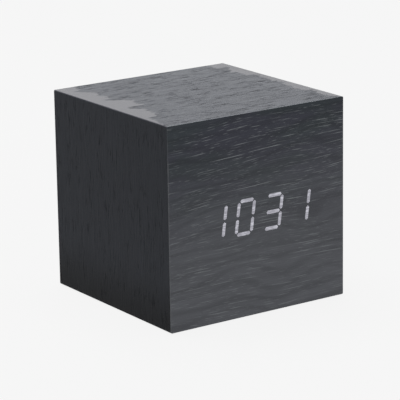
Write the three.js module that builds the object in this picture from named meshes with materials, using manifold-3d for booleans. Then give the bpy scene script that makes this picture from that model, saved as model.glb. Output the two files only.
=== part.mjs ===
// Cube alarm clock: a fibreboard cube wrapped in wood-look film, with light digits on its front.
// Millimetres, +Z up. The origin is the middle of the footprint, on the surface that it stands on.
// The front faces -Y, and +X is on the right of someone who reads the time.
import * as THREE from 'three';
import { mergeVertices } from 'three/addons/utils/BufferGeometryUtils.js';
import Module from 'manifold-3d';

const wasm = await Module();
wasm.setup();

// The cube: its width and height follow from what stands in it, and these spaces beside and above that
const CASE_DEPTH = 80;
const SPACE_BESIDE_TRAY = 9.85;
const SPACE_BESIDE_DISPLAY_BOARD = 2;
const SPACE_UNDER_DOOR = 4.6;
const SPACE_OVER_DOOR = 4.7;
const SPACE_OVER_BUTTON_BOARD = 2.4;

// The boards and the film that they are folded in
const CASE_EDGE_RADIUS = 0.45;
const FILM_THICKNESS = 0.4;
const BOARD_THICKNESS = 5;
const FRONT_BOARD_THICKNESS = 6;
const MITRE_GAP = 0.2;
const BATTEN_WIDTH = 7;
const BATTEN_DEPTH = 8;

// Foot pads, stuck to the boards through round holes in the film
const PAD_RADIUS = 4;
const PAD_PROUD = 0.5;
const PAD_INSET = 9;
const PAD_CLEARANCE = 0.2;

// The time on the display and the shape of its characters, in the upright before they lean
const SHOWN_TIME = [1, 0, 3, 1];
const CHARACTER_HEIGHT = 14.25;
const CHARACTER_WIDTH = 8.45;
const CHARACTER_GAP = 4.7;
const CHARACTER_LEAN_DEGREES = 7.8;
const SEGMENT_WIDTH = 1.35;
const SEGMENT_END_GAP = 0.44;
const SEGMENT_POINT_SHARE = 0.7;
const COLON_DOT_RADIUS = 0.8;
const COLON_DOT_HEIGHT = 2.9;
const DISPLAY_RIGHT_OF_MIDDLE = 0.5;
const DISPLAY_BELOW_MIDDLE = 0.4;

// The display's reflector, light guides and circuit board
const REFLECTOR_SIDE_WALL = 1.3;
const REFLECTOR_END_WALL = 2.4;
const REFLECTOR_CLEARANCE = 0.2;
const LIGHT_CLEARANCE = 0.1;
const LIGHT_WEB_THICKNESS = 1;
const LIGHT_WEB_MARGIN = 0.6;
const DISPLAY_BOARD_EAR = 6.8;
const DISPLAY_BOARD_MARGIN = 4;
const CIRCUIT_BOARD_THICKNESS = 1.6;
const BOARD_SCREW_HEAD_RADIUS = 2.2;
const BOARD_SCREW_HEAD_HEIGHT = 1.4;
const BOARD_SCREW_SHANK_RADIUS = 1;
const BOARD_SCREW_LENGTH = 6;
const SCREW_CLEARANCE = 0.15;

// The clock chip and its crystal, on the back of the display board
const CHIP_END_MARGIN = 0.1;
const CHIP_WIDTH = 7.5;
const CHIP_THICKNESS = 2.3;
const CHIP_STANDOFF = 0.2;
const CHIP_LEADS_PER_SIDE = 14;
const CHIP_LEAD_PITCH = 1.27;
const CHIP_LEAD_WIDTH = 0.45;
const CHIP_LEAD_THICKNESS = 0.3;
const CHIP_LEAD_REACH = 1.5;
const CHIP_BELOW_DISPLAY = 2;
const CRYSTAL_RADIUS = 1.5;
const CRYSTAL_LENGTH = 8;
const CRYSTAL_LEAD_LENGTH = 2.4;
const CRYSTAL_LEAD_RADIUS = 0.2;
const CRYSTAL_LEAD_SPREAD = 0.6;
const CRYSTAL_FROM_CHIP = 7;

// The rear cover and its screws
const COVER_RECESS = 2;
const COVER_THICKNESS = 2;
const COVER_CLEARANCE = 0.2;
const COVER_CORNER_RADIUS = 1.2;
const COVER_SCREW_INSET_Z = 6;
const COVER_SCREW_HEAD_RADIUS = 2.6;
const COVER_SCREW_HEAD_HEIGHT = 1.5;
const COVER_SCREW_SUNK = 0.6;
const COVER_SCREW_SHANK_RADIUS = 1.3;
const COVER_SCREW_LENGTH = 9;
const SCREW_CROSS_WIDTH = 0.7;
const SCREW_CROSS_DEPTH = 0.7;
const SCREW_CROSS_REACH_SHARE = 0.62;

// The cells and their compartment
const CELL_COUNT = 3;
const CELL_RADIUS = 5.25;
const CELL_LENGTH = 44.5;
const CELL_NUB_RADIUS = 1.9;
const CELL_NUB_LENGTH = 1;
const CELL_SHOULDER = 0.5;
const CELL_BASE_DISH_RADIUS = 3.6;
const CELL_BASE_DISH_DEPTH = 0.2;
const CELL_CLEARANCE = 0.3;
const CELL_GAP = 0.5;
const TRAY_WALL = 1.2;
const TRAY_RIB_HEIGHT = 2;
const TRAY_RIB_WIDTH = 1;
const TRAY_RIB_LENGTH = 30;

// Contact plates in the slots of the compartment's end walls, and their springs
const CONTACT_THICKNESS = 0.4;
const CONTACT_CLEARANCE = 0.1;
const CONTACT_DEPTH = 8.6;
const CONTACT_DIMPLE_RADIUS = 2;
const CONTACT_DIMPLE_HEIGHT = 0.4;
const CONTACT_LIP_THICKNESS = 0.6;
const CONTACT_LIP_REACH = 0.8;
const CONTACT_WINDOW_CLEARANCE = 0.35;
const CONTACT_BACK_WALL = 0.6;
const CONTACT_TAB_WIDTH = 3;
const CONTACT_TAB_PROUD = 2;
const CONTACT_TOUCH_GAP = 0.1;
const SPRING_LENGTH = 4.2;
const SPRING_TURNS = 3;
const SPRING_WIRE_RADIUS = 0.25;
const SPRING_BASE_RADIUS = 2.6;
const SPRING_TIP_RADIUS = 1.9;

// The battery door, its tabs and its latch
const DOOR_THICKNESS = 1.6;
const DOOR_GAP = 0.3;
const DOOR_SEAT_GAP = 0.2;
const DOOR_LEDGE = 1.2;
const DOOR_TO_CELL_GAP = 0.5;
const DOOR_FLANGE_THICKNESS = 1.4;
const DOOR_FLANGE_MARGIN = 1.2;
const DOOR_CORNER_RADIUS = 0.8;
const DOOR_GRIP_COUNT = 5;
const DOOR_GRIP_PITCH = 1.6;
const DOOR_GRIP_WIDTH = 0.6;
const DOOR_GRIP_DEPTH = 0.4;
const DOOR_GRIP_LENGTH = 12;
const DOOR_GRIP_FROM_TOP = 3;
const TAB_WIDTH = 6;
const TAB_THICKNESS = 1;
const TAB_REACH = 2;
const TAB_UNDER_COVER_GAP = 0.3;
const TAB_FROM_MIDDLE = 16;
const TAB_SWING_ROOM = 0.6;
const LATCH_WIDTH = 8;
const LATCH_THICKNESS = 0.9;
const LATCH_INNER_RADIUS = 0.6;
const LATCH_DEPTH = 4.4;
const LATCH_HOOK_REACH = 0.8;
const LATCH_HOOK_HEIGHT = 0.9;
const LATCH_CLEARANCE = 0.25;
const SCOOP_RADIUS = 9;
const SCOOP_DEPTH = 0.9;

// Buttons, switches and the board that carries them
const BUTTON_PITCH = 11;
const BUTTON_RADIUS = 3.2;
const BUTTON_PROUD = 1.2;
const BUTTON_CROWN = 0.35;
const BUTTON_HOLE_GAP = 0.25;
const BUTTON_FLANGE_RADIUS = 4.2;
const BUTTON_FLANGE_THICKNESS = 1;
const BUTTON_FLANGE_GAP = 0.2;
const BUTTON_STEM_RADIUS = 1.6;
const BUTTON_TRAVEL = 0.5;
const SWITCH_SIZE = 6;
const SWITCH_HEIGHT = 3.5;
const SWITCH_CORNER_CUT = 0.7;
const PLUNGER_RADIUS = 1.75;
const PLUNGER_PROUD = 0.8;
const PLUNGER_SUNK = 1.4;
const PLUNGER_GAP = 0.15;
const BUTTON_BOARD_DEPTH = 9;
const BUTTON_BOARD_SIDE_MARGIN = 2.7;
const BUTTONS_BELOW_BOARD_TOP = 5.6;
const BUTTONS_ABOVE_BUZZER = 10.2;
const BUZZER_ABOVE_BOARD_BOTTOM = 6.2;
const BUTTONS_LEFT_OF_MIDDLE = 4;
const POST_INSET = 2.4;
const POST_RADIUS = 1.8;
const POST_PIN_RADIUS = 0.9;
const POST_PIN_GAP = 0.2;
const POST_HEAD_RADIUS = 1.5;
const POST_HEAD_HEIGHT = 0.7;
const POST_HEAD_GAP = 0.1;

// Power socket
const SOCKET_FROM_SWITCH = 5.7;
const SOCKET_BELOW_BUTTONS = 4.9;
const SOCKET_BODY_SIZE = 7.6;
const SOCKET_NOSE_RADIUS = 3.2;
const SOCKET_NOSE_SUNK = 0.3;
const SOCKET_BORE_RADIUS = 1.9;
const SOCKET_FLOOR = 1.7;
const SOCKET_TO_COVER_GAP = 0.3;
const SOCKET_PIN_RADIUS = 0.65;
const SOCKET_PIN_BELOW_MOUTH = 1.2;
const SOCKET_PIN_FLOOR = 0.5;
const SOCKET_PIN_GAP = 0.1;

// Buzzer, microphone and capacitor on the button board
const BUZZER_RADIUS = 4.5;
const BUZZER_HEIGHT = 5.4;
const BUZZER_MOUTH_RADIUS = 1.1;
const BUZZER_MOUTH_DEPTH = 1.2;
const GRILLE_SLOT_COUNT = 5;
const GRILLE_SLOT_PITCH = 1.9;
const GRILLE_SLOT_WIDTH = 0.9;
const GRILLE_RADIUS = 4.8;
const MICROPHONE_RADIUS = 3;
const MICROPHONE_HEIGHT = 2.7;
const MICROPHONE_RIM = 0.4;
const MICROPHONE_RIM_DEPTH = 0.3;
const MICROPHONE_FROM_BUZZER = 6.5;
const MICROPHONE_HOLE_RADIUS = 0.8;
const CAPACITOR_RADIUS = 2.5;
const CAPACITOR_HEIGHT = 7;
const CAPACITOR_BASE = 0.8;
const CAPACITOR_NECK = 0.2;
const CAPACITOR_FROM_BUZZER = 5;

// Wires inside the case
const RIBBON_WIRE_COUNT = 8;
const RIBBON_WIRE_PITCH = 1.27;
const RIBBON_WIRE_RADIUS = 0.45;
const RIBBON_WEB_SHARE = 0.55;
const RIBBON_LEFT_OF_MIDDLE = 16;
const RIBBON_BELOW_BOARD_TOP = 4;
const RIBBON_BELOW_DISPLAY_TOP = 3;
const RIBBON_STRAIGHT = 9;
const LEAD_RADIUS = 0.6;
const LEAD_STRAIGHT = 3;
const LEAD_BACK = 6;
const WIRE_END_GAP = 0.3;

// How far a cutting shape runs past what it cuts
const OVERRUN = 1;

// How finely round things are divided
const ROUND_STEPS = 24;
const SMALL_ROUND_STEPS = 12;
const CORNER_STEPS = 3;
const SPRING_STEPS_PER_TURN = 8;
const SPRING_SIDES = 5;
const LEAD_SIDES = 8;
const LEAD_STEPS = 14;
const RIBBON_STEPS = 10;
const MERGE_DISTANCE = 1e-4;

// Which bars each number lights: a is the top one, then clockwise to f, and g is the middle one
const LIT_BARS_OF_NUMBER = [
  'abcdef', 'bc', 'abdeg', 'abcdg', 'bcfg', 'acdfg', 'acdefg', 'abc', 'abcdefg', 'abcdfg',
];
// Where each bar's middle is, as shares of half the width and half the height between bar middles
const BAR_PLACE_SHARES = {
  a: [0, 1], b: [1, 0.5], c: [1, -0.5], d: [0, -1], e: [-1, -0.5], f: [-1, 0.5], g: [0, 0],
};
const LIGHT_NAMES = ['hour_tens_light', 'hour_units_light', 'minute_tens_light', 'minute_units_light'];
const BUTTON_NAMES = ['set', 'up', 'down'];

const FINISHES = {
  film: { color: 0x3f4045, roughness: 0.55, metalness: 0 },
  board: { color: 0x2b2826, roughness: 0.9, metalness: 0 },
  batten: { color: 0x8d7350, roughness: 0.85, metalness: 0 },
  light: { color: 0xdcdbe6, roughness: 0.4, metalness: 0 },
  blackPlastic: { color: 0x1b1b1d, roughness: 0.6, metalness: 0 },
  button: { color: 0x2a2a2d, roughness: 0.5, metalness: 0 },
  circuitBoard: { color: 0x1f4a33, roughness: 0.5, metalness: 0 },
  steel: { color: 0xb9bbbe, roughness: 0.35, metalness: 1 },
  screw: { color: 0x3a3b3e, roughness: 0.4, metalness: 1 },
  brass: { color: 0xb59a5a, roughness: 0.35, metalness: 1 },
  cell: { color: 0x5f6a70, roughness: 0.35, metalness: 0.4 },
  ribbon: { color: 0x9a9ca0, roughness: 0.6, metalness: 0 },
  redLead: { color: 0x9c2420, roughness: 0.5, metalness: 0 },
  blackLead: { color: 0x18181a, roughness: 0.5, metalness: 0 },
  pad: { color: 0x242426, roughness: 0.95, metalness: 0 },
};

// The display's characters and what holds them
const barSpanX = CHARACTER_WIDTH - SEGMENT_WIDTH;
const barSpanZ = CHARACTER_HEIGHT - SEGMENT_WIDTH;
const lean = Math.tan(THREE.MathUtils.degToRad(CHARACTER_LEAN_DEGREES));
const characterPitch = CHARACTER_WIDTH + CHARACTER_GAP;
const charactersWidth = SHOWN_TIME.length * characterPitch - CHARACTER_GAP + lean * CHARACTER_HEIGHT;
const reflectorWidth = charactersWidth + 2 * REFLECTOR_SIDE_WALL;
const reflectorHeight = CHARACTER_HEIGHT + 2 * REFLECTOR_END_WALL;
const displayBoardWidth = reflectorWidth + 2 * DISPLAY_BOARD_EAR;
const displayBoardHeight = reflectorHeight + 2 * DISPLAY_BOARD_MARGIN;

// The length of the battery compartment, from its middle: cell, spring and contacts, then the end wall
const contactSpan = CELL_LENGTH + SPRING_LENGTH + CONTACT_DIMPLE_HEIGHT + 2 * CONTACT_TOUCH_GAP;
const contactFaceX = contactSpan / 2;
const traySideX = contactFaceX - CONTACT_CLEARANCE - CONTACT_LIP_THICKNESS;
const contactSlotX = traySideX + CONTACT_LIP_THICKNESS;
const contactSlotEndX = contactSlotX + CONTACT_THICKNESS + 2 * CONTACT_CLEARANCE;
const trayOuterX = contactSlotEndX + CONTACT_BACK_WALL;
const doorSideX = traySideX + DOOR_LEDGE;

// The room inside the case is as wide as the wider of the compartment and the display board
const displayReachX = DISPLAY_RIGHT_OF_MIDDLE + displayBoardWidth / 2;
const roomSideX = Math.max(trayOuterX + SPACE_BESIDE_TRAY, displayReachX + SPACE_BESIDE_DISPLAY_BOARD);
const boardSideX = roomSideX + BOARD_THICKNESS;
const caseSideX = boardSideX + FILM_THICKNESS;

// Heights, from the surface up: the compartment with its door, and the button board over it
const caseBottomZ = PAD_PROUD;
const boardBottomZ = caseBottomZ + FILM_THICKNESS;
const roomBottomZ = boardBottomZ + BOARD_THICKNESS;
const cellPitch = 2 * CELL_RADIUS + CELL_GAP;
const doorBottomZ = roomBottomZ + SPACE_UNDER_DOOR;
const trayBottomZ = doorBottomZ + DOOR_LEDGE;
const trayTopZ = trayBottomZ + 2 * (CELL_CLEARANCE + CELL_RADIUS) + (CELL_COUNT - 1) * cellPitch;
const doorTopZ = trayTopZ + DOOR_LEDGE;
const buttonBoardBottomZ = doorTopZ + SPACE_OVER_DOOR;
const soundZ = buttonBoardBottomZ + BUZZER_ABOVE_BOARD_BOTTOM;
const buttonZ = soundZ + BUTTONS_ABOVE_BUZZER;
const buttonBoardTopZ = buttonZ + BUTTONS_BELOW_BOARD_TOP;
const roomTopZ = buttonBoardTopZ + SPACE_OVER_BUTTON_BOARD;
const boardTopZ = roomTopZ + BOARD_THICKNESS;
const caseTopZ = boardTopZ + FILM_THICKNESS;

// From front to back: the film, the front board and the display on it
const caseFrontY = -CASE_DEPTH / 2;
const frontFilmBackY = caseFrontY + FILM_THICKNESS;
const frontBoardBackY = frontFilmBackY + FRONT_BOARD_THICKNESS;
const lightWebFrontY = frontBoardBackY - LIGHT_WEB_THICKNESS;
const displayBoardBackY = frontBoardBackY + CIRCUIT_BOARD_THICKNESS;
const displayX = DISPLAY_RIGHT_OF_MIDDLE;
const displayZ = (caseBottomZ + caseTopZ) / 2 - DISPLAY_BELOW_MIDDLE;
const boardScrewX = (reflectorWidth + DISPLAY_BOARD_EAR) / 2;
const mitreShift = MITRE_GAP / Math.SQRT2;

// The rear cover
const caseBackY = CASE_DEPTH / 2;
const coverOuterY = caseBackY - COVER_RECESS;
const coverInnerY = coverOuterY - COVER_THICKNESS;
const coverSideX = roomSideX - COVER_CLEARANCE;
const coverBottomZ = roomBottomZ + COVER_CLEARANCE;
const coverTopZ = roomTopZ - COVER_CLEARANCE;
const battenInnerX = roomSideX - BATTEN_WIDTH;
const coverScrewX = roomSideX - BATTEN_WIDTH / 2;
const coverScrewZs = [roomBottomZ + COVER_SCREW_INSET_Z, roomTopZ - COVER_SCREW_INSET_Z];
const coverScrewHeadY = coverOuterY - COVER_SCREW_SUNK;

// The depth of the battery compartment, its door's tabs and its latch
const doorInnerY = coverOuterY - DOOR_THICKNESS;
const trayMouthY = doorInnerY - DOOR_SEAT_GAP;
const trayFloorY = doorInnerY - DOOR_TO_CELL_GAP - 2 * CELL_RADIUS - CELL_CLEARANCE;
const trayBackY = trayFloorY - TRAY_WALL;
const cellAxisY = trayFloorY + CELL_CLEARANCE + CELL_RADIUS;
const contactWindowHalf = SPRING_BASE_RADIUS + SPRING_WIRE_RADIUS + CONTACT_WINDOW_CLEARANCE;
const contactHalfWidth = contactWindowHalf + CONTACT_LIP_REACH;
const contactTabEndY = trayBackY - CONTACT_TAB_PROUD;
const tabFrontY = coverInnerY - TAB_UNDER_COVER_GAP;
const tabBackY = tabFrontY - TAB_THICKNESS;
const tabSwingRadius = Math.hypot(coverOuterY - tabBackY, TAB_REACH) + TAB_SWING_ROOM;
const latchOuterRadius = LATCH_INNER_RADIUS + LATCH_THICKNESS;
const latchBackY = doorInnerY - LATCH_DEPTH;
const latchLegZ = doorTopZ - LATCH_THICKNESS;
const latchBendZ = doorTopZ + LATCH_INNER_RADIUS;
const latchTopZ = latchBendZ + latchOuterRadius;

// The button board and what it carries, from its middle outwards
const buttonBoardFaceY = coverInnerY - BUTTON_BOARD_DEPTH;
const buttonBoardBackY = buttonBoardFaceY - CIRCUIT_BOARD_THICKNESS;
const buttonXs = BUTTON_NAMES.map((_, i) => (1 - i) * BUTTON_PITCH - BUTTONS_LEFT_OF_MIDDLE);
const switchFaceY = buttonBoardFaceY + SWITCH_HEIGHT;
const plungerTipY = switchFaceY + PLUNGER_PROUD;
const buttonFlangeY = coverInnerY - BUTTON_FLANGE_GAP;
const socketX = buttonXs[0] + SWITCH_SIZE / 2 + SOCKET_FROM_SWITCH + SOCKET_BODY_SIZE / 2;
const socketZ = buttonZ - SOCKET_BELOW_BUTTONS;
const socketMouthY = coverOuterY - SOCKET_NOSE_SUNK;
const socketBoreEndY = buttonBoardFaceY + SOCKET_FLOOR;
const socketPinRootY = buttonBoardFaceY + SOCKET_PIN_FLOOR;
const buzzerX = -BUTTONS_LEFT_OF_MIDDLE;
const microphoneX = buzzerX - BUZZER_RADIUS - MICROPHONE_FROM_BUZZER - MICROPHONE_RADIUS;
const capacitorX = buzzerX + BUZZER_RADIUS + CAPACITOR_FROM_BUZZER + CAPACITOR_RADIUS;
const buttonBoardSideX = socketX + SOCKET_BODY_SIZE / 2 + BUTTON_BOARD_SIDE_MARGIN;
const postX = buttonBoardSideX - POST_INSET;
const postZs = [buttonBoardBottomZ + POST_INSET, buttonBoardTopZ - POST_INSET];

// A geometry as a solid: its shared corners are merged and its collapsed triangles are dropped.
function solidOf(geometry) {
  geometry.deleteAttribute('normal');
  geometry.deleteAttribute('uv');
  const merged = mergeVertices(geometry, MERGE_DISTANCE);
  const corners = merged.index.array;
  const triVerts = [];
  for (let i = 0; i < corners.length; i += 3) {
    const [a, b, c] = [corners[i], corners[i + 1], corners[i + 2]];
    if (a !== b && b !== c && c !== a) triVerts.push(a, b, c);
  }
  return new wasm.Manifold(new wasm.Mesh({
    numProp: 3,
    vertProperties: new Float32Array(merged.attributes.position.array),
    triVerts: new Uint32Array(triVerts),
  }));
}

// A solid as a geometry with flat faces.
function geometryOf(solid) {
  const { vertProperties, triVerts } = solid.getMesh();
  const shared = new THREE.BufferGeometry();
  shared.setAttribute('position', new THREE.BufferAttribute(new Float32Array(vertProperties), 3));
  shared.setIndex(new THREE.BufferAttribute(new Uint32Array(triVerts), 1));
  const flat = shared.toNonIndexed();
  flat.computeVertexNormals();
  return flat;
}

const joined = (solids) => solids.reduce((all, next) => all.add(next));
const cut = (solid, tools) => tools.reduce((left, tool) => left.subtract(tool), solid);
const aboutMiddle = (middle, width) => [middle - width / 2, middle + width / 2];

// A block between two places on each axis.
function block([x0, x1], [y0, y1], [z0, z1]) {
  const geometry = new THREE.BoxGeometry(x1 - x0, y1 - y0, z1 - z0);
  geometry.translate((x0 + x1) / 2, (y0 + y1) / 2, (z0 + z1) / 2);
  return solidOf(geometry);
}

// An outline as a shape: it may be one already, or be a list of points.
function shapeOf(outline) {
  if (outline instanceof THREE.Shape) return outline;
  return new THREE.Shape(outline.map(([a, b]) => new THREE.Vector2(a, b)));
}

// An outline in X and Z, carried along Y.
function prismAlongY(outline, [y0, y1]) {
  const options = { depth: y1 - y0, bevelEnabled: false, curveSegments: CORNER_STEPS };
  const geometry = new THREE.ExtrudeGeometry(shapeOf(outline), options);
  geometry.rotateX(Math.PI / 2);
  geometry.translate(0, y1, 0);
  return solidOf(geometry);
}

// An outline in Y and Z, carried along X.
function prismAlongX(outline, [x0, x1]) {
  const options = { depth: x1 - x0, bevelEnabled: false, curveSegments: CORNER_STEPS * 2 };
  const geometry = new THREE.ExtrudeGeometry(shapeOf(outline), options);
  const [xAxis, yAxis, zAxis] = [[1, 0, 0], [0, 1, 0], [0, 0, 1]].map((axis) => new THREE.Vector3(...axis));
  geometry.applyMatrix4(new THREE.Matrix4().makeBasis(yAxis, zAxis, xAxis));
  geometry.translate(x0, 0, 0);
  return solidOf(geometry);
}

// A rectangle in X and Z with round corners.
function roundedRectangle([x0, x1], [z0, z1], radius) {
  const shape = new THREE.Shape();
  shape.absarc(x1 - radius, z0 + radius, radius, -Math.PI / 2, 0);
  shape.absarc(x1 - radius, z1 - radius, radius, 0, Math.PI / 2);
  shape.absarc(x0 + radius, z1 - radius, radius, Math.PI / 2, Math.PI);
  shape.absarc(x0 + radius, z0 + radius, radius, Math.PI, Math.PI * 1.5);
  shape.closePath();
  return shape;
}

// A turned piece: its profile is a list of [radius, place along the axis], from axis to axis.
function turnedGeometry(profile, steps) {
  return new THREE.LatheGeometry(profile.map(([r, along]) => new THREE.Vector2(r, along)), steps);
}

function turnedAlongY(profile, [x, z], steps = ROUND_STEPS) {
  const geometry = turnedGeometry(profile, steps);
  geometry.translate(x, 0, z);
  return solidOf(geometry);
}

function turnedAlongZ(profile, [x, y], steps = ROUND_STEPS) {
  const geometry = turnedGeometry(profile, steps);
  geometry.rotateX(Math.PI / 2);
  geometry.translate(x, y, 0);
  return solidOf(geometry);
}

function turnedAlongX(profile, [y, z], steps = ROUND_STEPS) {
  const geometry = turnedGeometry(profile, steps);
  geometry.rotateZ(-Math.PI / 2);
  geometry.translate(0, y, z);
  return solidOf(geometry);
}

// The profile of a plain round bar.
const barProfile = (radius, [from, to]) => [[0, from], [radius, from], [radius, to], [0, to]];
const barAlongY = (radius, span, place, steps) => turnedAlongY(barProfile(radius, span), place, steps);
const barAlongZ = (radius, span, place, steps) => turnedAlongZ(barProfile(radius, span), place, steps);

// A section of [across, up] points swept along a path of points, mitred at each of them, with square ends.
function swept(path, section, acrossHint) {
  const directions = path.slice(1).map((point, i) => point.clone().sub(path[i]).normalize());
  const first = directions[0];
  const across = acrossHint.clone().addScaledVector(first, -acrossHint.dot(first)).normalize();
  const up = first.clone().cross(across);
  let offsets = section.map(([a, b]) => across.clone().multiplyScalar(a).addScaledVector(up, b));
  const positions = [];
  path.forEach((point, i) => {
    const incoming = directions[Math.max(i - 1, 0)];
    const outgoing = directions[Math.min(i, directions.length - 1)];
    const mitre = incoming.clone().add(outgoing);
    offsets = offsets.map((offset) => {
      const slide = -offset.dot(mitre) / incoming.dot(mitre);
      const corner = offset.clone().addScaledVector(incoming, slide);
      positions.push(...corner.clone().add(point).toArray());
      return corner.addScaledVector(outgoing, -corner.dot(outgoing));
    });
  });
  const sides = section.length;
  const triVerts = [];
  for (let ring = 0; ring + 1 < path.length; ring += 1) {
    for (let side = 0; side < sides; side += 1) {
      const next = (side + 1) % sides;
      const [a, b] = [ring * sides + side, ring * sides + next];
      triVerts.push(a, b, b + sides, a, b + sides, a + sides);
    }
  }
  const flat = section.map(([a, b]) => new THREE.Vector2(a, b));
  const last = (path.length - 1) * sides;
  THREE.ShapeUtils.triangulateShape(flat, []).forEach(([a, b, c]) => {
    triVerts.push(c, b, a, last + a, last + b, last + c);
  });
  const geometry = new THREE.BufferGeometry();
  geometry.setAttribute('position', new THREE.Float32BufferAttribute(positions, 3));
  geometry.setIndex(triVerts);
  return solidOf(geometry);
}

const roundSection = (radius, sides) => Array.from({ length: sides }, (_, i) => {
  const angle = (i / sides) * Math.PI * 2;
  return [radius * Math.cos(angle), radius * Math.sin(angle)];
});

// The case

// A board that lies flat, its ends mitred; the outer face is the wider one.
function levelBoard(outerZ, innerZ) {
  const outerX = boardSideX - mitreShift;
  const innerX = roomSideX - mitreShift;
  const outline = [[-outerX, outerZ], [outerX, outerZ], [innerX, innerZ], [-innerX, innerZ]];
  return prismAlongY(outline, [frontFilmBackY, caseBackY]);
}

// A board that stands, its ends mitred.
function uprightBoard(side) {
  const outline = [
    [side * boardSideX, boardBottomZ + mitreShift],
    [side * boardSideX, boardTopZ - mitreShift],
    [side * roomSideX, roomTopZ - mitreShift],
    [side * roomSideX, roomBottomZ + mitreShift],
  ];
  return prismAlongY(outline, [frontFilmBackY, caseBackY]);
}

function batten(side) {
  const xs = [side * battenInnerX, side * roomSideX].sort((a, b) => a - b);
  const body = block(xs, [coverInnerY - BATTEN_DEPTH, coverInnerY], [roomBottomZ, roomTopZ]);
  const holeEndY = coverScrewHeadY - COVER_SCREW_LENGTH - SCREW_CLEARANCE;
  const holes = coverScrewZs.map((z) => barAlongY(
    COVER_SCREW_SHANK_RADIUS + SCREW_CLEARANCE,
    [Math.max(holeEndY, coverInnerY - BATTEN_DEPTH - OVERRUN), coverInnerY + OVERRUN],
    [side * coverScrewX, z],
    SMALL_ROUND_STEPS,
  ));
  return cut(body, holes);
}

const padPlaces = [[-1, -1], [1, -1], [-1, 1], [1, 1]].map(([sx, sy]) => [
  sx * (caseSideX - PAD_INSET), sy * (caseBackY - PAD_INSET),
]);

function wrapFilm() {
  const shape = roundedRectangle([-caseSideX, caseSideX], [caseBottomZ, caseTopZ], CASE_EDGE_RADIUS);
  const band = prismAlongY(shape, [frontFilmBackY, caseBackY]);
  const inside = block(
    [-boardSideX, boardSideX], [frontFilmBackY - OVERRUN, caseBackY + OVERRUN], [boardBottomZ, boardTopZ],
  );
  const holes = padPlaces.map((place) => barAlongZ(
    PAD_RADIUS + PAD_CLEARANCE, [-OVERRUN, boardBottomZ + OVERRUN], place,
  ));
  return cut(band, [inside, ...holes]);
}

const footPad = (place) => barAlongZ(PAD_RADIUS, [0, boardBottomZ], place);

function frontBoard() {
  const board = block([-roomSideX, roomSideX], [frontFilmBackY, frontBoardBackY], [roomBottomZ, roomTopZ]);
  const window = block(
    aboutMiddle(displayX, reflectorWidth + 2 * REFLECTOR_CLEARANCE),
    [frontFilmBackY - OVERRUN, frontBoardBackY + OVERRUN],
    aboutMiddle(displayZ, reflectorHeight + 2 * REFLECTOR_CLEARANCE),
  );
  const screwEndY = displayBoardBackY - BOARD_SCREW_LENGTH;
  const holes = [-1, 1].map((side) => barAlongY(
    BOARD_SCREW_SHANK_RADIUS + SCREW_CLEARANCE,
    [screwEndY - SCREW_CLEARANCE, frontBoardBackY + OVERRUN],
    [displayX + side * boardScrewX, displayZ],
    SMALL_ROUND_STEPS,
  ));
  return cut(board, [window, ...holes]);
}

// The display

const characterX = (index) => displayX + (index - (SHOWN_TIME.length - 1) / 2) * characterPitch;
const isLit = (index, bar) => LIT_BARS_OF_NUMBER[SHOWN_TIME[index]].includes(bar);

// A place in a character, leaning with it: across and up are from the character's middle.
const leaning = (middleX, [across, up]) => [middleX + across + up * lean, displayZ + up];

// A bar of a character: six-sided, pointed at both ends, grown all round by a clearance.
function barOutline(index, bar, grow) {
  const [shareX, shareZ] = BAR_PLACE_SHARES[bar];
  const lies = shareX === 0;
  const halfLength = (lies ? barSpanX / 2 : barSpanZ / 4) - SEGMENT_END_GAP + grow;
  const halfWidth = SEGMENT_WIDTH / 2 + grow;
  const shoulder = halfLength - halfWidth * SEGMENT_POINT_SHARE;
  const along = [
    [-halfLength, 0], [-shoulder, -halfWidth], [shoulder, -halfWidth],
    [halfLength, 0], [shoulder, halfWidth], [-shoulder, halfWidth],
  ];
  return along.map(([run, side]) => {
    const [across, up] = lies ? [run, side] : [-side, run];
    return leaning(characterX(index), [across + shareX * barSpanX / 2, up + shareZ * barSpanZ / 2]);
  });
}

const BARS = Object.keys(BAR_PLACE_SHARES);
const CHARACTERS = SHOWN_TIME.map((_, index) => index);
const barPrism = (index, bar, grow, span) => prismAlongY(barOutline(index, bar, grow), span);

// The web that joins the bars of a light guide on the circuit board's side.
function webOutline(middleX, width, height) {
  const cornerShares = [[-0.5, -0.5], [0.5, -0.5], [0.5, 0.5], [-0.5, 0.5]];
  return cornerShares.map(([across, up]) => leaning(middleX, [across * width, up * height]));
}

function characterWeb(index, grow, span) {
  const margin = 2 * (LIGHT_WEB_MARGIN + grow);
  const outline = webOutline(characterX(index), CHARACTER_WIDTH + margin, CHARACTER_HEIGHT + margin);
  return prismAlongY(outline, span);
}

// A character's light guide: lit bars end level with the front, and the others behind the film.
function lightGuide(index) {
  const web = characterWeb(index, 0, [lightWebFrontY, frontBoardBackY]);
  const bars = BARS.map((bar) => {
    const tipY = isLit(index, bar) ? caseFrontY : frontFilmBackY + LIGHT_CLEARANCE;
    return barPrism(index, bar, 0, [tipY, frontBoardBackY]);
  });
  return joined([web, ...bars]);
}

// The colon's two dots and their web, grown by a clearance.
function colon(grow, dotSpan, webSpan) {
  const webWidth = 2 * (COLON_DOT_RADIUS + grow);
  const webHeight = 2 * (COLON_DOT_HEIGHT + COLON_DOT_RADIUS + grow);
  const web = prismAlongY(webOutline(displayX, webWidth, webHeight), webSpan);
  const dots = [-1, 1].map((side) => barAlongY(
    COLON_DOT_RADIUS + grow, dotSpan, leaning(displayX, [0, side * COLON_DOT_HEIGHT]), SMALL_ROUND_STEPS,
  ));
  return joined([web, ...dots]);
}

const colonLens = () => colon(
  0, [frontFilmBackY + LIGHT_CLEARANCE, frontBoardBackY], [lightWebFrontY, frontBoardBackY],
);

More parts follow.
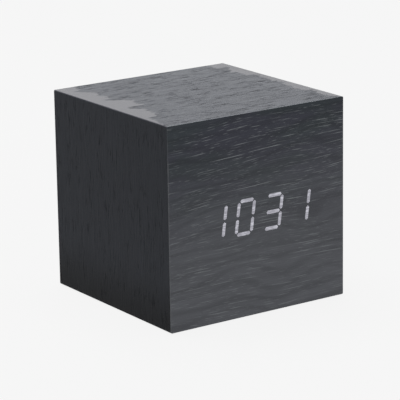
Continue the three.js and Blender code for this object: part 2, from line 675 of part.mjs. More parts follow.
// The black housing with a pocket for each bar and dot and a recess for each web.
function displayReflector() {
  const housing = block(
    aboutMiddle(displayX, reflectorWidth), [frontFilmBackY, frontBoardBackY],
    aboutMiddle(displayZ, reflectorHeight),
  );
  const through = [frontFilmBackY - OVERRUN, frontBoardBackY + OVERRUN];
  const webRoom = [lightWebFrontY - LIGHT_CLEARANCE, frontBoardBackY + OVERRUN];
  const pockets = CHARACTERS.flatMap((index) => [
    characterWeb(index, LIGHT_CLEARANCE, webRoom),
    ...BARS.map((bar) => barPrism(index, bar, LIGHT_CLEARANCE, through)),
  ]);
  return cut(housing, [...pockets, colon(LIGHT_CLEARANCE, through, webRoom)]);
}

// The sheet over the whole front, with an opening at each lit bar.
function frontFilm() {
  const shape = roundedRectangle([-caseSideX, caseSideX], [caseBottomZ, caseTopZ], CASE_EDGE_RADIUS);
  const sheet = prismAlongY(shape, [caseFrontY, frontFilmBackY]);
  const through = [caseFrontY - OVERRUN, frontFilmBackY + OVERRUN];
  const openings = CHARACTERS.flatMap((index) => BARS.filter((bar) => isLit(index, bar)).map(
    (bar) => barPrism(index, bar, LIGHT_CLEARANCE, through),
  ));
  return cut(sheet, openings);
}

function displayBoard() {
  const board = block(
    aboutMiddle(displayX, displayBoardWidth), [frontBoardBackY, displayBoardBackY],
    aboutMiddle(displayZ, displayBoardHeight),
  );
  const holes = [-1, 1].map((side) => barAlongY(
    BOARD_SCREW_SHANK_RADIUS + SCREW_CLEARANCE,
    [frontBoardBackY - OVERRUN, displayBoardBackY + OVERRUN],
    [displayX + side * boardScrewX, displayZ],
    SMALL_ROUND_STEPS,
  ));
  return cut(board, holes);
}

// A pan-head screw whose head bears at headY and whose shank points to -Y, with a cross recess.
function screw(headY, headRadius, headHeight, shankRadius, length, [x, z]) {
  const tipY = headY - length;
  const crownY = headY + headHeight;
  const rimY = headY + headHeight / 2;
  const profile = [
    [0, tipY], [shankRadius, tipY + 2 * shankRadius], [shankRadius, headY], [headRadius, headY],
    [headRadius, rimY], [headRadius / 2, crownY], [0, crownY],
  ];
  const body = turnedAlongY(profile, [x, z], SMALL_ROUND_STEPS);
  const reach = 2 * headRadius * SCREW_CROSS_REACH_SHARE;
  const depths = [crownY - SCREW_CROSS_DEPTH, crownY + OVERRUN];
  const cross = [
    block(aboutMiddle(x, reach), depths, aboutMiddle(z, SCREW_CROSS_WIDTH)),
    block(aboutMiddle(x, SCREW_CROSS_WIDTH), depths, aboutMiddle(z, reach)),
  ];
  return cut(body, cross);
}

const boardScrew = (side) => screw(
  displayBoardBackY, BOARD_SCREW_HEAD_RADIUS, BOARD_SCREW_HEAD_HEIGHT, BOARD_SCREW_SHANK_RADIUS,
  BOARD_SCREW_LENGTH, [displayX + side * boardScrewX, displayZ],
);

const chipZ = displayZ - CHIP_BELOW_DISPLAY;
const chipLength = CHIP_LEADS_PER_SIDE * CHIP_LEAD_PITCH + 2 * CHIP_END_MARGIN;

// The clock chip: a flat body with a row of bent leads on its upper and lower side.
function clockChip() {
  const bodyY = displayBoardBackY + CHIP_STANDOFF;
  const leadY = bodyY + CHIP_THICKNESS / 2;
  const body = block(
    aboutMiddle(displayX, chipLength), [bodyY, bodyY + CHIP_THICKNESS], aboutMiddle(chipZ, CHIP_WIDTH),
  );
  const leads = [];
  for (let i = 0; i < CHIP_LEADS_PER_SIDE; i += 1) {
    const x = displayX + (i - (CHIP_LEADS_PER_SIDE - 1) / 2) * CHIP_LEAD_PITCH;
    for (const side of [-1, 1]) {
      const rootZ = chipZ + side * (CHIP_WIDTH / 2 - CHIP_LEAD_THICKNESS);
      const kneeZ = chipZ + side * (CHIP_WIDTH / 2 + CHIP_LEAD_REACH / 2);
      const toeZ = chipZ + side * (CHIP_WIDTH / 2 + CHIP_LEAD_REACH);
      const outline = [
        [leadY, rootZ], [leadY, kneeZ], [displayBoardBackY, kneeZ], [displayBoardBackY, toeZ],
        [displayBoardBackY + CHIP_LEAD_THICKNESS, toeZ],
        [displayBoardBackY + CHIP_LEAD_THICKNESS, kneeZ + side * CHIP_LEAD_THICKNESS],
        [leadY + CHIP_LEAD_THICKNESS, kneeZ + side * CHIP_LEAD_THICKNESS],
        [leadY + CHIP_LEAD_THICKNESS, rootZ],
      ];
      leads.push(prismAlongX(outline, aboutMiddle(x, CHIP_LEAD_WIDTH)));
    }
  }
  return joined([body, ...leads]);
}

// The crystal: a can that lies on the board beside the chip, with two leads.
function quartzCrystal() {
  const axisY = displayBoardBackY + CRYSTAL_RADIUS;
  const startX = displayX + chipLength / 2 + CRYSTAL_FROM_CHIP;
  const can = turnedAlongX(
    barProfile(CRYSTAL_RADIUS, [startX, startX + CRYSTAL_LENGTH]), [axisY, chipZ], SMALL_ROUND_STEPS,
  );
  const leads = [-1, 1].map((side) => turnedAlongX(
    barProfile(CRYSTAL_LEAD_RADIUS, [startX - CRYSTAL_LEAD_LENGTH, startX + OVERRUN]),
    [axisY, chipZ + side * CRYSTAL_LEAD_SPREAD], SMALL_ROUND_STEPS / 2,
  ));
  return joined([can, ...leads]);
}

// The rear cover

const cellZ = (index) => trayBottomZ + CELL_CLEARANCE + CELL_RADIUS + index * cellPitch;

// Each contact plate stands at one end of the compartment and spans one or two cells.
const CONTACTS = [
  { name: 'negative_contact', side: -1, cells: [0, 0], dimple: null },
  { name: 'lower_bridge_contact', side: 1, cells: [0, 1], dimple: 0 },
  { name: 'upper_bridge_contact', side: -1, cells: [1, 2], dimple: 1 },
  { name: 'positive_contact', side: 1, cells: [2, 2], dimple: 2 },
];

const sorted = (a, b) => [Math.min(a, b), Math.max(a, b)];

function contactZs({ cells: [lower, upper] }, grow) {
  return [cellZ(lower) - contactHalfWidth - grow, cellZ(upper) + contactHalfWidth + grow];
}

// The solder tab stands below the plate's lowest cell.
const contactTabZs = ({ cells: [lower] }, grow) => aboutMiddle(cellZ(lower), CONTACT_TAB_WIDTH + 2 * grow);
const contactBackY = cellAxisY - CONTACT_DEPTH / 2;

// A contact's slot in the end wall, its window towards the cell and the hole for its solder tab.
function contactCuts(contact) {
  const { side } = contact;
  const mouth = trayMouthY + OVERRUN;
  const slotXs = sorted(side * contactSlotX, side * contactSlotEndX);
  return [
    block(slotXs, [contactBackY - CONTACT_CLEARANCE, mouth], contactZs(contact, CONTACT_CLEARANCE)),
    block(
      sorted(side * (traySideX - OVERRUN), side * contactSlotEndX),
      [contactBackY - CONTACT_CLEARANCE, mouth], contactZs(contact, -CONTACT_LIP_REACH),
    ),
    block(slotXs, [trayBackY - OVERRUN, mouth], contactTabZs(contact, CONTACT_CLEARANCE)),
  ];
}

function contactPlate(contact) {
  const { side, dimple } = contact;
  const xs = sorted(side * contactFaceX, side * (contactFaceX + CONTACT_THICKNESS));
  const plate = block(xs, aboutMiddle(cellAxisY, CONTACT_DEPTH), contactZs(contact, 0));
  const tab = block(xs, [contactTabEndY, cellAxisY], contactTabZs(contact, 0));
  if (dimple === null) return joined([plate, tab]);
  const dimpleTipX = contactFaceX - CONTACT_DIMPLE_HEIGHT;
  const dimpleSpan = sorted(side * dimpleTipX, side * (contactFaceX + CONTACT_THICKNESS));
  const profile = barProfile(CONTACT_DIMPLE_RADIUS, dimpleSpan);
  const bump = turnedAlongX(profile, [cellAxisY, cellZ(dimple)], SMALL_ROUND_STEPS);
  return joined([plate, tab, bump]);
}

// The compartment: a box with a floor, end walls for the contacts, and ribs that part the cells.
function batteryTray() {
  const outside = block(
    [-trayOuterX, trayOuterX], [trayBackY, trayMouthY], [trayBottomZ - TRAY_WALL, trayTopZ + TRAY_WALL],
  );
  const flangeMargin = DOOR_GAP + DOOR_FLANGE_MARGIN;
  const flange = block(
    [-doorSideX - flangeMargin, doorSideX + flangeMargin],
    [trayMouthY - DOOR_FLANGE_THICKNESS, Math.max(coverInnerY, trayMouthY)],
    [doorBottomZ - flangeMargin, doorTopZ + flangeMargin],
  );
  return joined([outside, flange]);
}

function trayRibs() {
  const ribs = [];
  for (let i = 0; i + 1 < CELL_COUNT; i += 1) {
    ribs.push(block(
      aboutMiddle(0, TRAY_RIB_LENGTH),
      [trayBackY, trayFloorY + TRAY_RIB_HEIGHT],
      aboutMiddle((cellZ(i) + cellZ(i + 1)) / 2, TRAY_RIB_WIDTH),
    ));
  }
  return ribs;
}

const tabXs = [-1, 1].map((side) => side * TAB_FROM_MIDDLE);

// What is cut away for the door, its tabs as they swing, its latch and a fingertip.
function doorCuts() {
  const opening = block(
    [-doorSideX - DOOR_GAP, doorSideX + DOOR_GAP], [trayMouthY, coverOuterY + OVERRUN],
    [doorBottomZ - DOOR_GAP, doorTopZ + DOOR_GAP],
  );
  const inside = block([-traySideX, traySideX], [trayFloorY, coverOuterY + OVERRUN], [trayBottomZ, trayTopZ]);
  const tabRooms = tabXs.map((x) => block(
    aboutMiddle(x, TAB_WIDTH + 2 * DOOR_GAP), [coverOuterY - tabSwingRadius, coverInnerY],
    [doorBottomZ - TAB_REACH - TAB_SWING_ROOM, trayBottomZ + OVERRUN],
  ));
  const tabMouths = tabXs.map((x) => block(
    aboutMiddle(x, TAB_WIDTH + 2 * DOOR_GAP), [coverOuterY - tabSwingRadius, coverOuterY],
    [doorBottomZ - DOOR_GAP, trayBottomZ + OVERRUN],
  ));
  const latchRoom = block(
    aboutMiddle(0, LATCH_WIDTH + 2 * DOOR_GAP), [latchBackY - LATCH_CLEARANCE, coverOuterY + OVERRUN],
    [trayTopZ - OVERRUN, latchTopZ + LATCH_CLEARANCE],
  );
  const hookRoom = block(
    aboutMiddle(0, LATCH_WIDTH + 2 * DOOR_GAP), [latchBackY - LATCH_CLEARANCE, coverInnerY],
    [trayTopZ - OVERRUN, latchTopZ + LATCH_HOOK_REACH + LATCH_CLEARANCE],
  );
  const ball = new THREE.SphereGeometry(SCOOP_RADIUS, ROUND_STEPS, SMALL_ROUND_STEPS);
  ball.translate(0, coverOuterY + SCOOP_RADIUS - SCOOP_DEPTH, latchTopZ + LATCH_CLEARANCE);
  return [opening, inside, ...tabRooms, ...tabMouths, latchRoom, hookRoom, solidOf(ball)];
}

// Long holes whose ends follow a circle, in front of the buzzer.
function grilleSlots() {
  const slots = [];
  for (let i = 0; i < GRILLE_SLOT_COUNT; i += 1) {
    const up = (i - (GRILLE_SLOT_COUNT - 1) / 2) * GRILLE_SLOT_PITCH;
    const halfLength = Math.sqrt(GRILLE_RADIUS ** 2 - up ** 2);
    slots.push(block(
      aboutMiddle(buzzerX, 2 * halfLength), [coverInnerY - OVERRUN, coverOuterY + OVERRUN],
      aboutMiddle(soundZ + up, GRILLE_SLOT_WIDTH),
    ));
  }
  return slots;
}

// A post that the button board rests on, with the pin and head that hold it.
function boardPost([x, z]) {
  const headTopY = buttonBoardBackY - POST_HEAD_GAP;
  return turnedAlongY([
    [0, headTopY - POST_HEAD_HEIGHT], [POST_HEAD_RADIUS / 2, headTopY - POST_HEAD_HEIGHT],
    [POST_HEAD_RADIUS, headTopY], [POST_PIN_RADIUS, headTopY], [POST_PIN_RADIUS, buttonBoardFaceY],
    [POST_RADIUS, buttonBoardFaceY], [POST_RADIUS, coverOuterY - COVER_THICKNESS / 2],
    [0, coverOuterY - COVER_THICKNESS / 2],
  ], [x, z], SMALL_ROUND_STEPS);
}

const postPlaces = [-1, 1].flatMap((side) => postZs.map((z) => [side * postX, z]));

function rearCover() {
  const outline = roundedRectangle([-coverSideX, coverSideX], [coverBottomZ, coverTopZ], COVER_CORNER_RADIUS);
  const plate = prismAlongY(outline, [coverInnerY, coverOuterY]);
  const through = [coverInnerY - OVERRUN, coverOuterY + OVERRUN];
  const buttonHoles = buttonXs.map(
    (x) => barAlongY(BUTTON_RADIUS + BUTTON_HOLE_GAP, through, [x, buttonZ]),
  );
  const socketHole = barAlongY(
    SOCKET_NOSE_RADIUS + SOCKET_TO_COVER_GAP, through, [socketX, socketZ],
  );
  const microphoneHole = barAlongY(
    MICROPHONE_HOLE_RADIUS, through, [microphoneX, soundZ], SMALL_ROUND_STEPS / 2,
  );
  const screwHoles = coverScrewPlaces.flatMap((place) => [
    barAlongY(COVER_SCREW_SHANK_RADIUS + SCREW_CLEARANCE, through, place, SMALL_ROUND_STEPS),
    barAlongY(
      COVER_SCREW_HEAD_RADIUS + SCREW_CLEARANCE, [coverScrewHeadY, through[1]], place, SMALL_ROUND_STEPS,
    ),
  ]);
  const shell = cut(joined([plate, batteryTray()]), [
    ...doorCuts(), ...CONTACTS.flatMap(contactCuts),
    ...buttonHoles, socketHole, microphoneHole, ...screwHoles, ...grilleSlots(),
  ]);
  return joined([shell, ...trayRibs(), ...postPlaces.map(boardPost)]);
}

const coverScrewPlaces = [-1, 1].flatMap((side) => coverScrewZs.map((z) => [side * coverScrewX, z]));

const coverScrew = (place) => screw(
  coverScrewHeadY, COVER_SCREW_HEAD_RADIUS, COVER_SCREW_HEAD_HEIGHT, COVER_SCREW_SHANK_RADIUS,
  COVER_SCREW_LENGTH, place,
);

// The door: a panel with grip grooves under its latch, and two tabs that hook behind the cover.
function batteryDoor() {
  const outline = roundedRectangle([-doorSideX, doorSideX], [doorBottomZ, doorTopZ], DOOR_CORNER_RADIUS);
  const panel = prismAlongY(outline, [doorInnerY, coverOuterY]);
  const tabSection = [
    [doorInnerY, doorBottomZ], [doorInnerY, doorBottomZ + TAB_REACH], [tabBackY, doorBottomZ + TAB_REACH],
    [tabBackY, doorBottomZ - TAB_REACH], [tabFrontY, doorBottomZ - TAB_REACH], [tabFrontY, doorBottomZ],
  ];
  const tabs = tabXs.map((x) => prismAlongX(tabSection, aboutMiddle(x, TAB_WIDTH)));
  const grooves = [];
  for (let i = 0; i < DOOR_GRIP_COUNT; i += 1) {
    const z = doorTopZ - DOOR_GRIP_FROM_TOP - i * DOOR_GRIP_PITCH;
    grooves.push(block(
      aboutMiddle(0, DOOR_GRIP_LENGTH), [coverOuterY - DOOR_GRIP_DEPTH, coverOuterY + OVERRUN],
      aboutMiddle(z, DOOR_GRIP_WIDTH),
    ));
  }
  return cut(joined([panel, ...tabs]), grooves);
}

// The latch: a springy tongue that leaves the door's inner face, turns back and hooks behind the cover.
function doorLatch() {
  const bendY = latchBackY + latchOuterRadius;
  const hookTipY = coverInnerY - LATCH_CLEARANCE;
  const shape = new THREE.Shape();
  shape.moveTo(doorInnerY, latchLegZ);
  shape.lineTo(doorInnerY, doorTopZ);
  shape.lineTo(bendY, doorTopZ);
  shape.absarc(bendY, latchBendZ, LATCH_INNER_RADIUS, -Math.PI / 2, -Math.PI * 1.5, true);
  shape.lineTo(coverOuterY, latchBendZ + LATCH_INNER_RADIUS);
  shape.lineTo(coverOuterY, latchTopZ);
  shape.lineTo(hookTipY, latchTopZ);
  shape.lineTo(hookTipY, latchTopZ + LATCH_HOOK_REACH);
  shape.lineTo(hookTipY - LATCH_HOOK_HEIGHT, latchTopZ);
  shape.lineTo(bendY, latchTopZ);
  shape.absarc(bendY, latchBendZ, latchOuterRadius, Math.PI / 2, Math.PI * 1.5, false);
  return prismAlongX(shape, aboutMiddle(0, LATCH_WIDTH));
}

// Cells, contacts and springs

// A cell's nub points to its positive end; side is the end where its contact plate has the dimple.
const CELL_POSITIVE_SIDES = Array.from({ length: CELL_COUNT }, (_, i) => (i % 2 === 0 ? 1 : -1));

function batteryCell(index) {
  const side = CELL_POSITIVE_SIDES[index];
  const nubTip = contactFaceX - CONTACT_DIMPLE_HEIGHT - CONTACT_TOUCH_GAP;
  const base = nubTip - CELL_LENGTH;
  const shoulder = nubTip - CELL_NUB_LENGTH;
  const profile = [
    [0, base + CELL_BASE_DISH_DEPTH],
    [CELL_BASE_DISH_RADIUS - CELL_BASE_DISH_DEPTH, base + CELL_BASE_DISH_DEPTH],
    [CELL_BASE_DISH_RADIUS, base], [CELL_RADIUS - CELL_SHOULDER, base], [CELL_RADIUS, base + CELL_SHOULDER],
    [CELL_RADIUS, shoulder - CELL_SHOULDER], [CELL_RADIUS - CELL_SHOULDER, shoulder],
    [CELL_NUB_RADIUS, shoulder], [CELL_NUB_RADIUS, nubTip], [0, nubTip],
  ];
  const placed = side > 0 ? profile : profile.map(([r, along]) => [r, -along]).reverse();
  return turnedAlongX(placed, [cellAxisY, cellZ(index)]);
}

// The path of a contact spring: a cone of turns with a straight run at each end.
function springPath(index) {
  const side = -CELL_POSITIVE_SIDES[index];
  const wire = 2 * SPRING_WIRE_RADIUS;
  const length = SPRING_LENGTH - CONTACT_TOUCH_GAP - 2 * wire;
  const steps = SPRING_TURNS * SPRING_STEPS_PER_TURN;
  const at = (distance, radius, angle) => new THREE.Vector3(
    side * (contactFaceX - distance),
    cellAxisY + radius * Math.cos(angle),
    cellZ(index) + radius * Math.sin(angle),
  );
  const turns = Array.from({ length: steps + 1 }, (_, i) => {
    const share = i / steps;
    const radius = THREE.MathUtils.lerp(SPRING_BASE_RADIUS, SPRING_TIP_RADIUS, share);
    return at(wire + share * length, radius, share * SPRING_TURNS * Math.PI * 2);
  });
  const endAngle = SPRING_TURNS * Math.PI * 2;
  return [at(0, SPRING_BASE_RADIUS, 0), ...turns, at(2 * wire + length, SPRING_TIP_RADIUS, endAngle)];
}

// The least gap between turns: points at least half a turn apart along the wire, less its thickness.
function leastSelfGap(path) {
  const apart = SPRING_STEPS_PER_TURN / 2;
  let least = Infinity;
  for (let i = 0; i < path.length; i += 1) {
    for (let j = i + apart; j < path.length; j += 1) {
      least = Math.min(least, path[i].distanceTo(path[j]) - 2 * SPRING_WIRE_RADIUS);
    }
  }
  return least;
}

function contactSpring(index) {
  const path = springPath(index);
  console.log(`contact spring ${index + 1}: least gap to itself ${leastSelfGap(path).toFixed(2)} mm`);
  return swept(path, roundSection(SPRING_WIRE_RADIUS, SPRING_SIDES), new THREE.Vector3(0, 1, 0));
}

// Buttons and the board behind them

function buttonCap(x) {
  const crownY = coverOuterY + BUTTON_PROUD;
  const flangeBackY = buttonFlangeY - BUTTON_FLANGE_THICKNESS;
  return turnedAlongY([
    [0, plungerTipY], [BUTTON_STEM_RADIUS, plungerTipY], [BUTTON_STEM_RADIUS, flangeBackY],
    [BUTTON_FLANGE_RADIUS, flangeBackY], [BUTTON_FLANGE_RADIUS, buttonFlangeY],
    [BUTTON_RADIUS, buttonFlangeY], [BUTTON_RADIUS, crownY - BUTTON_CROWN],
    [BUTTON_RADIUS - BUTTON_CROWN, crownY], [0, crownY],
  ], [x, buttonZ]);
}

// A push switch: a square body with cut corners and a well for its plunger.
function pushSwitch(x) {
  const half = SWITCH_SIZE / 2;
  const cutHalf = half - SWITCH_CORNER_CUT;
  const corners = [
    [half, -cutHalf], [half, cutHalf], [cutHalf, half], [-cutHalf, half],
    [-half, cutHalf], [-half, -cutHalf], [-cutHalf, -half], [cutHalf, -half],
  ];
  const body = prismAlongY(corners.map(([a, b]) => [x + a, buttonZ + b]), [buttonBoardFaceY, switchFaceY]);
  const wellEndY = switchFaceY - PLUNGER_SUNK - BUTTON_TRAVEL - PLUNGER_GAP;
  return cut(body, [barAlongY(
    PLUNGER_RADIUS + PLUNGER_GAP, [wellEndY, switchFaceY + OVERRUN], [x, buttonZ], SMALL_ROUND_STEPS,
  )]);
}

const switchPlunger = (x) => barAlongY(
  PLUNGER_RADIUS, [switchFaceY - PLUNGER_SUNK, plungerTipY], [x, buttonZ], SMALL_ROUND_STEPS,
);

function buttonBoard() {
  const board = block(
    [-buttonBoardSideX, buttonBoardSideX], [buttonBoardBackY, buttonBoardFaceY],
    [buttonBoardBottomZ, buttonBoardTopZ],
  );
  const holes = postPlaces.map((place) => barAlongY(
    POST_PIN_RADIUS + POST_PIN_GAP, [buttonBoardBackY - OVERRUN, buttonBoardFaceY + OVERRUN],
    place, SMALL_ROUND_STEPS,
  ));
  return cut(board, holes);
}

// The power socket: a square body, a round nose in the cover and a bore with a hole for the pin.
function powerSocket() {
  const place = [socketX, socketZ];
  const bodyEndY = coverInnerY - SOCKET_TO_COVER_GAP;
  const body = block(
    aboutMiddle(socketX, SOCKET_BODY_SIZE), [buttonBoardFaceY, bodyEndY],
    aboutMiddle(socketZ, SOCKET_BODY_SIZE),
  );
  const nose = barAlongY(SOCKET_NOSE_RADIUS, [bodyEndY - OVERRUN, socketMouthY], place);
  const bore = barAlongY(SOCKET_BORE_RADIUS, [socketBoreEndY, socketMouthY + OVERRUN], place);
  const pinHole = barAlongY(
    SOCKET_PIN_RADIUS + SOCKET_PIN_GAP, [socketPinRootY, socketBoreEndY + OVERRUN],
    place, SMALL_ROUND_STEPS,
  );
  return cut(joined([body, nose]), [bore, pinHole]);
}

const socketPin = () => barAlongY(
  SOCKET_PIN_RADIUS, [socketPinRootY, socketMouthY - SOCKET_PIN_BELOW_MOUTH],
  [socketX, socketZ], SMALL_ROUND_STEPS,
);

function buzzer() {
  const topY = buttonBoardFaceY + BUZZER_HEIGHT;
  const mouthEndY = topY - BUZZER_MOUTH_DEPTH;
  return turnedAlongY([
    [0, buttonBoardFaceY], [BUZZER_RADIUS, buttonBoardFaceY], [BUZZER_RADIUS, topY],
    [BUZZER_MOUTH_RADIUS, topY], [BUZZER_MOUTH_RADIUS, mouthEndY], [0, mouthEndY],
  ], [buzzerX, soundZ]);
}

function microphoneCapsule() {
  const topY = buttonBoardFaceY + MICROPHONE_HEIGHT;
  const rimRadius = MICROPHONE_RADIUS - MICROPHONE_RIM;
  return turnedAlongY([
    [0, buttonBoardFaceY], [MICROPHONE_RADIUS, buttonBoardFaceY], [MICROPHONE_RADIUS, topY],
    [rimRadius, topY], [rimRadius, topY - MICROPHONE_RIM_DEPTH], [0, topY - MICROPHONE_RIM_DEPTH],
  ], [microphoneX, soundZ]);
}

function smoothingCapacitor() {
  const topY = buttonBoardFaceY + CAPACITOR_HEIGHT;
  const neckY = buttonBoardFaceY + CAPACITOR_BASE;
  return turnedAlongY([
    [0, buttonBoardFaceY], [CAPACITOR_RADIUS, buttonBoardFaceY], [CAPACITOR_RADIUS, neckY - CAPACITOR_NECK],
    [CAPACITOR_RADIUS - CAPACITOR_NECK, neckY], [CAPACITOR_RADIUS, neckY + CAPACITOR_NECK],
    [CAPACITOR_RADIUS, topY - CAPACITOR_NECK], [CAPACITOR_RADIUS - CAPACITOR_NECK, topY], [0, topY],
  ], [capacitorX, soundZ], SMALL_ROUND_STEPS);
}

// Wires

// A ribbon's section: round wires side by side, joined by thinner webs.
function ribbonSection() {
  const halfWeb = RIBBON_WIRE_RADIUS * RIBBON_WEB_SHARE;
  const upper = [];
  for (let i = 0; i < RIBBON_WIRE_COUNT; i += 1) {
    const x = (i - (RIBBON_WIRE_COUNT - 1) / 2) * RIBBON_WIRE_PITCH;
    upper.push([x - RIBBON_WIRE_PITCH / 2, halfWeb], [x, RIBBON_WIRE_RADIUS]);
  }
  upper.push([RIBBON_WIRE_COUNT * RIBBON_WIRE_PITCH / 2, halfWeb]);
  const lower = upper.map(([x, y]) => [x, -y]).reverse();
  return [...lower, ...upper].reverse();
}

// A smooth path through a wire's turning points.
function pathOf(corners, steps) {
  return new THREE.CatmullRomCurve3(corners.map((corner) => new THREE.Vector3(...corner))).getPoints(steps);
}

function ribbonCable() {
  const startY = displayBoardBackY + WIRE_END_GAP;
  const endY = buttonBoardBackY - WIRE_END_GAP;
  const startZ = displayZ + displayBoardHeight / 2 - RIBBON_BELOW_DISPLAY_TOP;
  const endZ = buttonBoardTopZ - RIBBON_BELOW_BOARD_TOP;
  const x = -RIBBON_LEFT_OF_MIDDLE;
  const path = pathOf([
    [x, startY, startZ], [x, startY + RIBBON_STRAIGHT, startZ],
    [x, (startY + endY) / 2, (startZ + endZ) / 2],
    [x, endY - RIBBON_STRAIGHT, endZ], [x, endY, endZ],
  ], RIBBON_STEPS);
  return swept(path, ribbonSection(), new THREE.Vector3(1, 0, 0));
}

// A lead from a contact's solder tab to the foot of the button board.
function batteryLead(contact) {
  const { side, cells: [lower] } = contact;
  const tabX = side * (contactFaceX + CONTACT_THICKNESS / 2);
  const boardX = side * (postX - 2 * POST_RADIUS - LEAD_RADIUS);
  const boardZ = buttonBoardBottomZ + POST_INSET;
  const startY = contactTabEndY - WIRE_END_GAP;
  const endY = buttonBoardBackY - WIRE_END_GAP;
  const backY = contactTabEndY - LEAD_BACK;
  const path = pathOf([
    [tabX, startY, cellZ(lower)], [tabX, startY - LEAD_STRAIGHT, cellZ(lower)],
    [(tabX + boardX) / 2, backY, (cellZ(lower) + boardZ) / 2],
    [boardX, endY - LEAD_STRAIGHT, boardZ], [boardX, endY, boardZ],
  ], LEAD_STEPS);
  return swept(path, roundSection(LEAD_RADIUS, LEAD_SIDES), new THREE.Vector3(1, 0, 0));
}

// The whole clock

const clock = new THREE.Group();

function add(name, solid, finish) {
  const mesh = new THREE.Mesh(geometryOf(solid), new THREE.MeshStandardMaterial(finish));
  mesh.name = name;
  clock.add(mesh);
}

add('bottom_board', levelBoard(boardBottomZ, roomBottomZ), FINISHES.board);
add('top_board', levelBoard(boardTopZ, roomTopZ), FINISHES.board);
add('left_board', uprightBoard(-1), FINISHES.board);
add('right_board', uprightBoard(1), FINISHES.board);
add('left_batten', batten(-1), FINISHES.batten);
add('right_batten', batten(1), FINISHES.batten);
add('wrap_film', wrapFilm(), FINISHES.film);
add('front_board', frontBoard(), FINISHES.board);
add('front_film', frontFilm(), FINISHES.film);
padPlaces.forEach((place, i) => add(`foot_pad_${i + 1}`, footPad(place), FINISHES.pad));

LIGHT_NAMES.forEach((name, index) => add(name, lightGuide(index), FINISHES.light));
add('colon_lens', colonLens(), FINISHES.light);
add('display_reflector', displayReflector(), FINISHES.blackPlastic);
add('display_board', displayBoard(), FINISHES.circuitBoard);
[-1, 1].forEach((side, i) => add(`display_screw_${i + 1}`, boardScrew(side), FINISHES.steel));
add('clock_chip', clockChip(), FINISHES.blackPlastic);
add('quartz_crystal', quartzCrystal(), FINISHES.steel);

add('rear_cover', rearCover(), FINISHES.blackPlastic);
coverScrewPlaces.forEach((place, i) => add(`cover_screw_${i + 1}`, coverScrew(place), FINISHES.screw));
add('battery_door', batteryDoor(), FINISHES.blackPlastic);
add('door_latch', doorLatch(), FINISHES.blackPlastic);

CELL_POSITIVE_SIDES.forEach((_, i) => {
  add(`battery_cell_${i + 1}`, batteryCell(i), FINISHES.cell);
  add(`contact_spring_${i + 1}`, contactSpring(i), FINISHES.steel);
});
CONTACTS.forEach((contact) => add(contact.name, contactPlate(contact), FINISHES.steel));

BUTTON_NAMES.forEach((name, i) => {
  add(`${name}_button`, buttonCap(buttonXs[i]), FINISHES.button);
  add(`${name}_switch`, pushSwitch(buttonXs[i]), FINISHES.blackPlastic);
  add(`${name}_plunger`, switchPlunger(buttonXs[i]), FINISHES.button);
});
add('button_board', buttonBoard(), FINISHES.circuitBoard);
add('power_socket', powerSocket(), FINISHES.blackPlastic);
add('socket_pin', socketPin(), FINISHES.brass);
add('buzzer', buzzer(), FINISHES.blackPlastic);
add('microphone', microphoneCapsule(), FINISHES.steel);
add('smoothing_capacitor', smoothingCapacitor(), FINISHES.blackPlastic);
add('ribbon_cable', ribbonCable(), FINISHES.ribbon);
add('negative_lead', batteryLead(CONTACTS[0]), FINISHES.blackLead);
add('positive_lead', batteryLead(CONTACTS[3]), FINISHES.redLead);

export default clock;
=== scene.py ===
"""Cube alarm clock: its wood-look films, lit numbers, rear cover, door, buttons and inner parts."""
import logging
import math
from dataclasses import dataclass
from enum import Enum
from functools import reduce
from typing import Optional, Sequence, Union

import bpy
from mathutils import Matrix, Vector


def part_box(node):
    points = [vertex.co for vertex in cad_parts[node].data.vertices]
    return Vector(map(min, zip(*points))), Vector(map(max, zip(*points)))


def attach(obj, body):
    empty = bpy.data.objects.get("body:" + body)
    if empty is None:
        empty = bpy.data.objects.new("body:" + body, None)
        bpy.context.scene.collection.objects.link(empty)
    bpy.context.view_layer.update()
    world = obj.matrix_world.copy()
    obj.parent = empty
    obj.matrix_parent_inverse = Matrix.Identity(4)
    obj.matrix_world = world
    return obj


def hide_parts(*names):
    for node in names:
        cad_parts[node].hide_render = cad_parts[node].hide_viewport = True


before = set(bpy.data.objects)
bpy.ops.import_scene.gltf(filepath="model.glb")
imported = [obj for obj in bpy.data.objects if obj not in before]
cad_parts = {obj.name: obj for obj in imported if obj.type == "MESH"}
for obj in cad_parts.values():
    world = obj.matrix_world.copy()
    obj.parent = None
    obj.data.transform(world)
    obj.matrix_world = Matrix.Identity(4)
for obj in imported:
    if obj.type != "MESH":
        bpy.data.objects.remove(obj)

LOG = logging.getLogger("cube_alarm_clock")
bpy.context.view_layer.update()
MM = 0.001  # in metres
MERGED = 1e-6  # in metres: corners this near each other become one
FLAT_ANGLE = 0.3  # in degrees: faces that bend less than this become one
SMOOTH_ANGLE = 35.0  # in degrees: edges that bend more than this are sharp
ROUND_SIDES = 48

Triple = tuple[float, float, float]
Outline = Sequence[tuple[float, float]]
Socket = bpy.types.NodeSocket
Piece = bpy.types.Object
Value = Union[float, Triple, tuple[float, float, float, float], Socket]


class Body(Enum):
    """The bodies that move on their own, by their names in the frame."""

    CASE = "case"
    DOOR = "door"
    SET = "set_push"
    UP = "up_push"
    DOWN = "down_push"


class Axis(Enum):
    """Where the axis of a turned piece points, as the turn that takes +Z there."""

    UP = (0.0, 0.0, 0.0)
    BACKWARD = (-math.pi / 2, 0.0, 0.0)
    RIGHT = (0.0, math.pi / 2, 0.0)
    LEFT = (0.0, -math.pi / 2, 0.0)


@dataclass(frozen=True)
class Pores:
    """Rows of thin dashes, as the open pores of wood. Lengths are in millimetres.

    The width is a share of the pitch between rows, and the fill is how much of a row is filled.
    """

    length: float
    pitch: float
    width: float
    fill: float
    shift: float = 0.0
    strength: float = 1.0


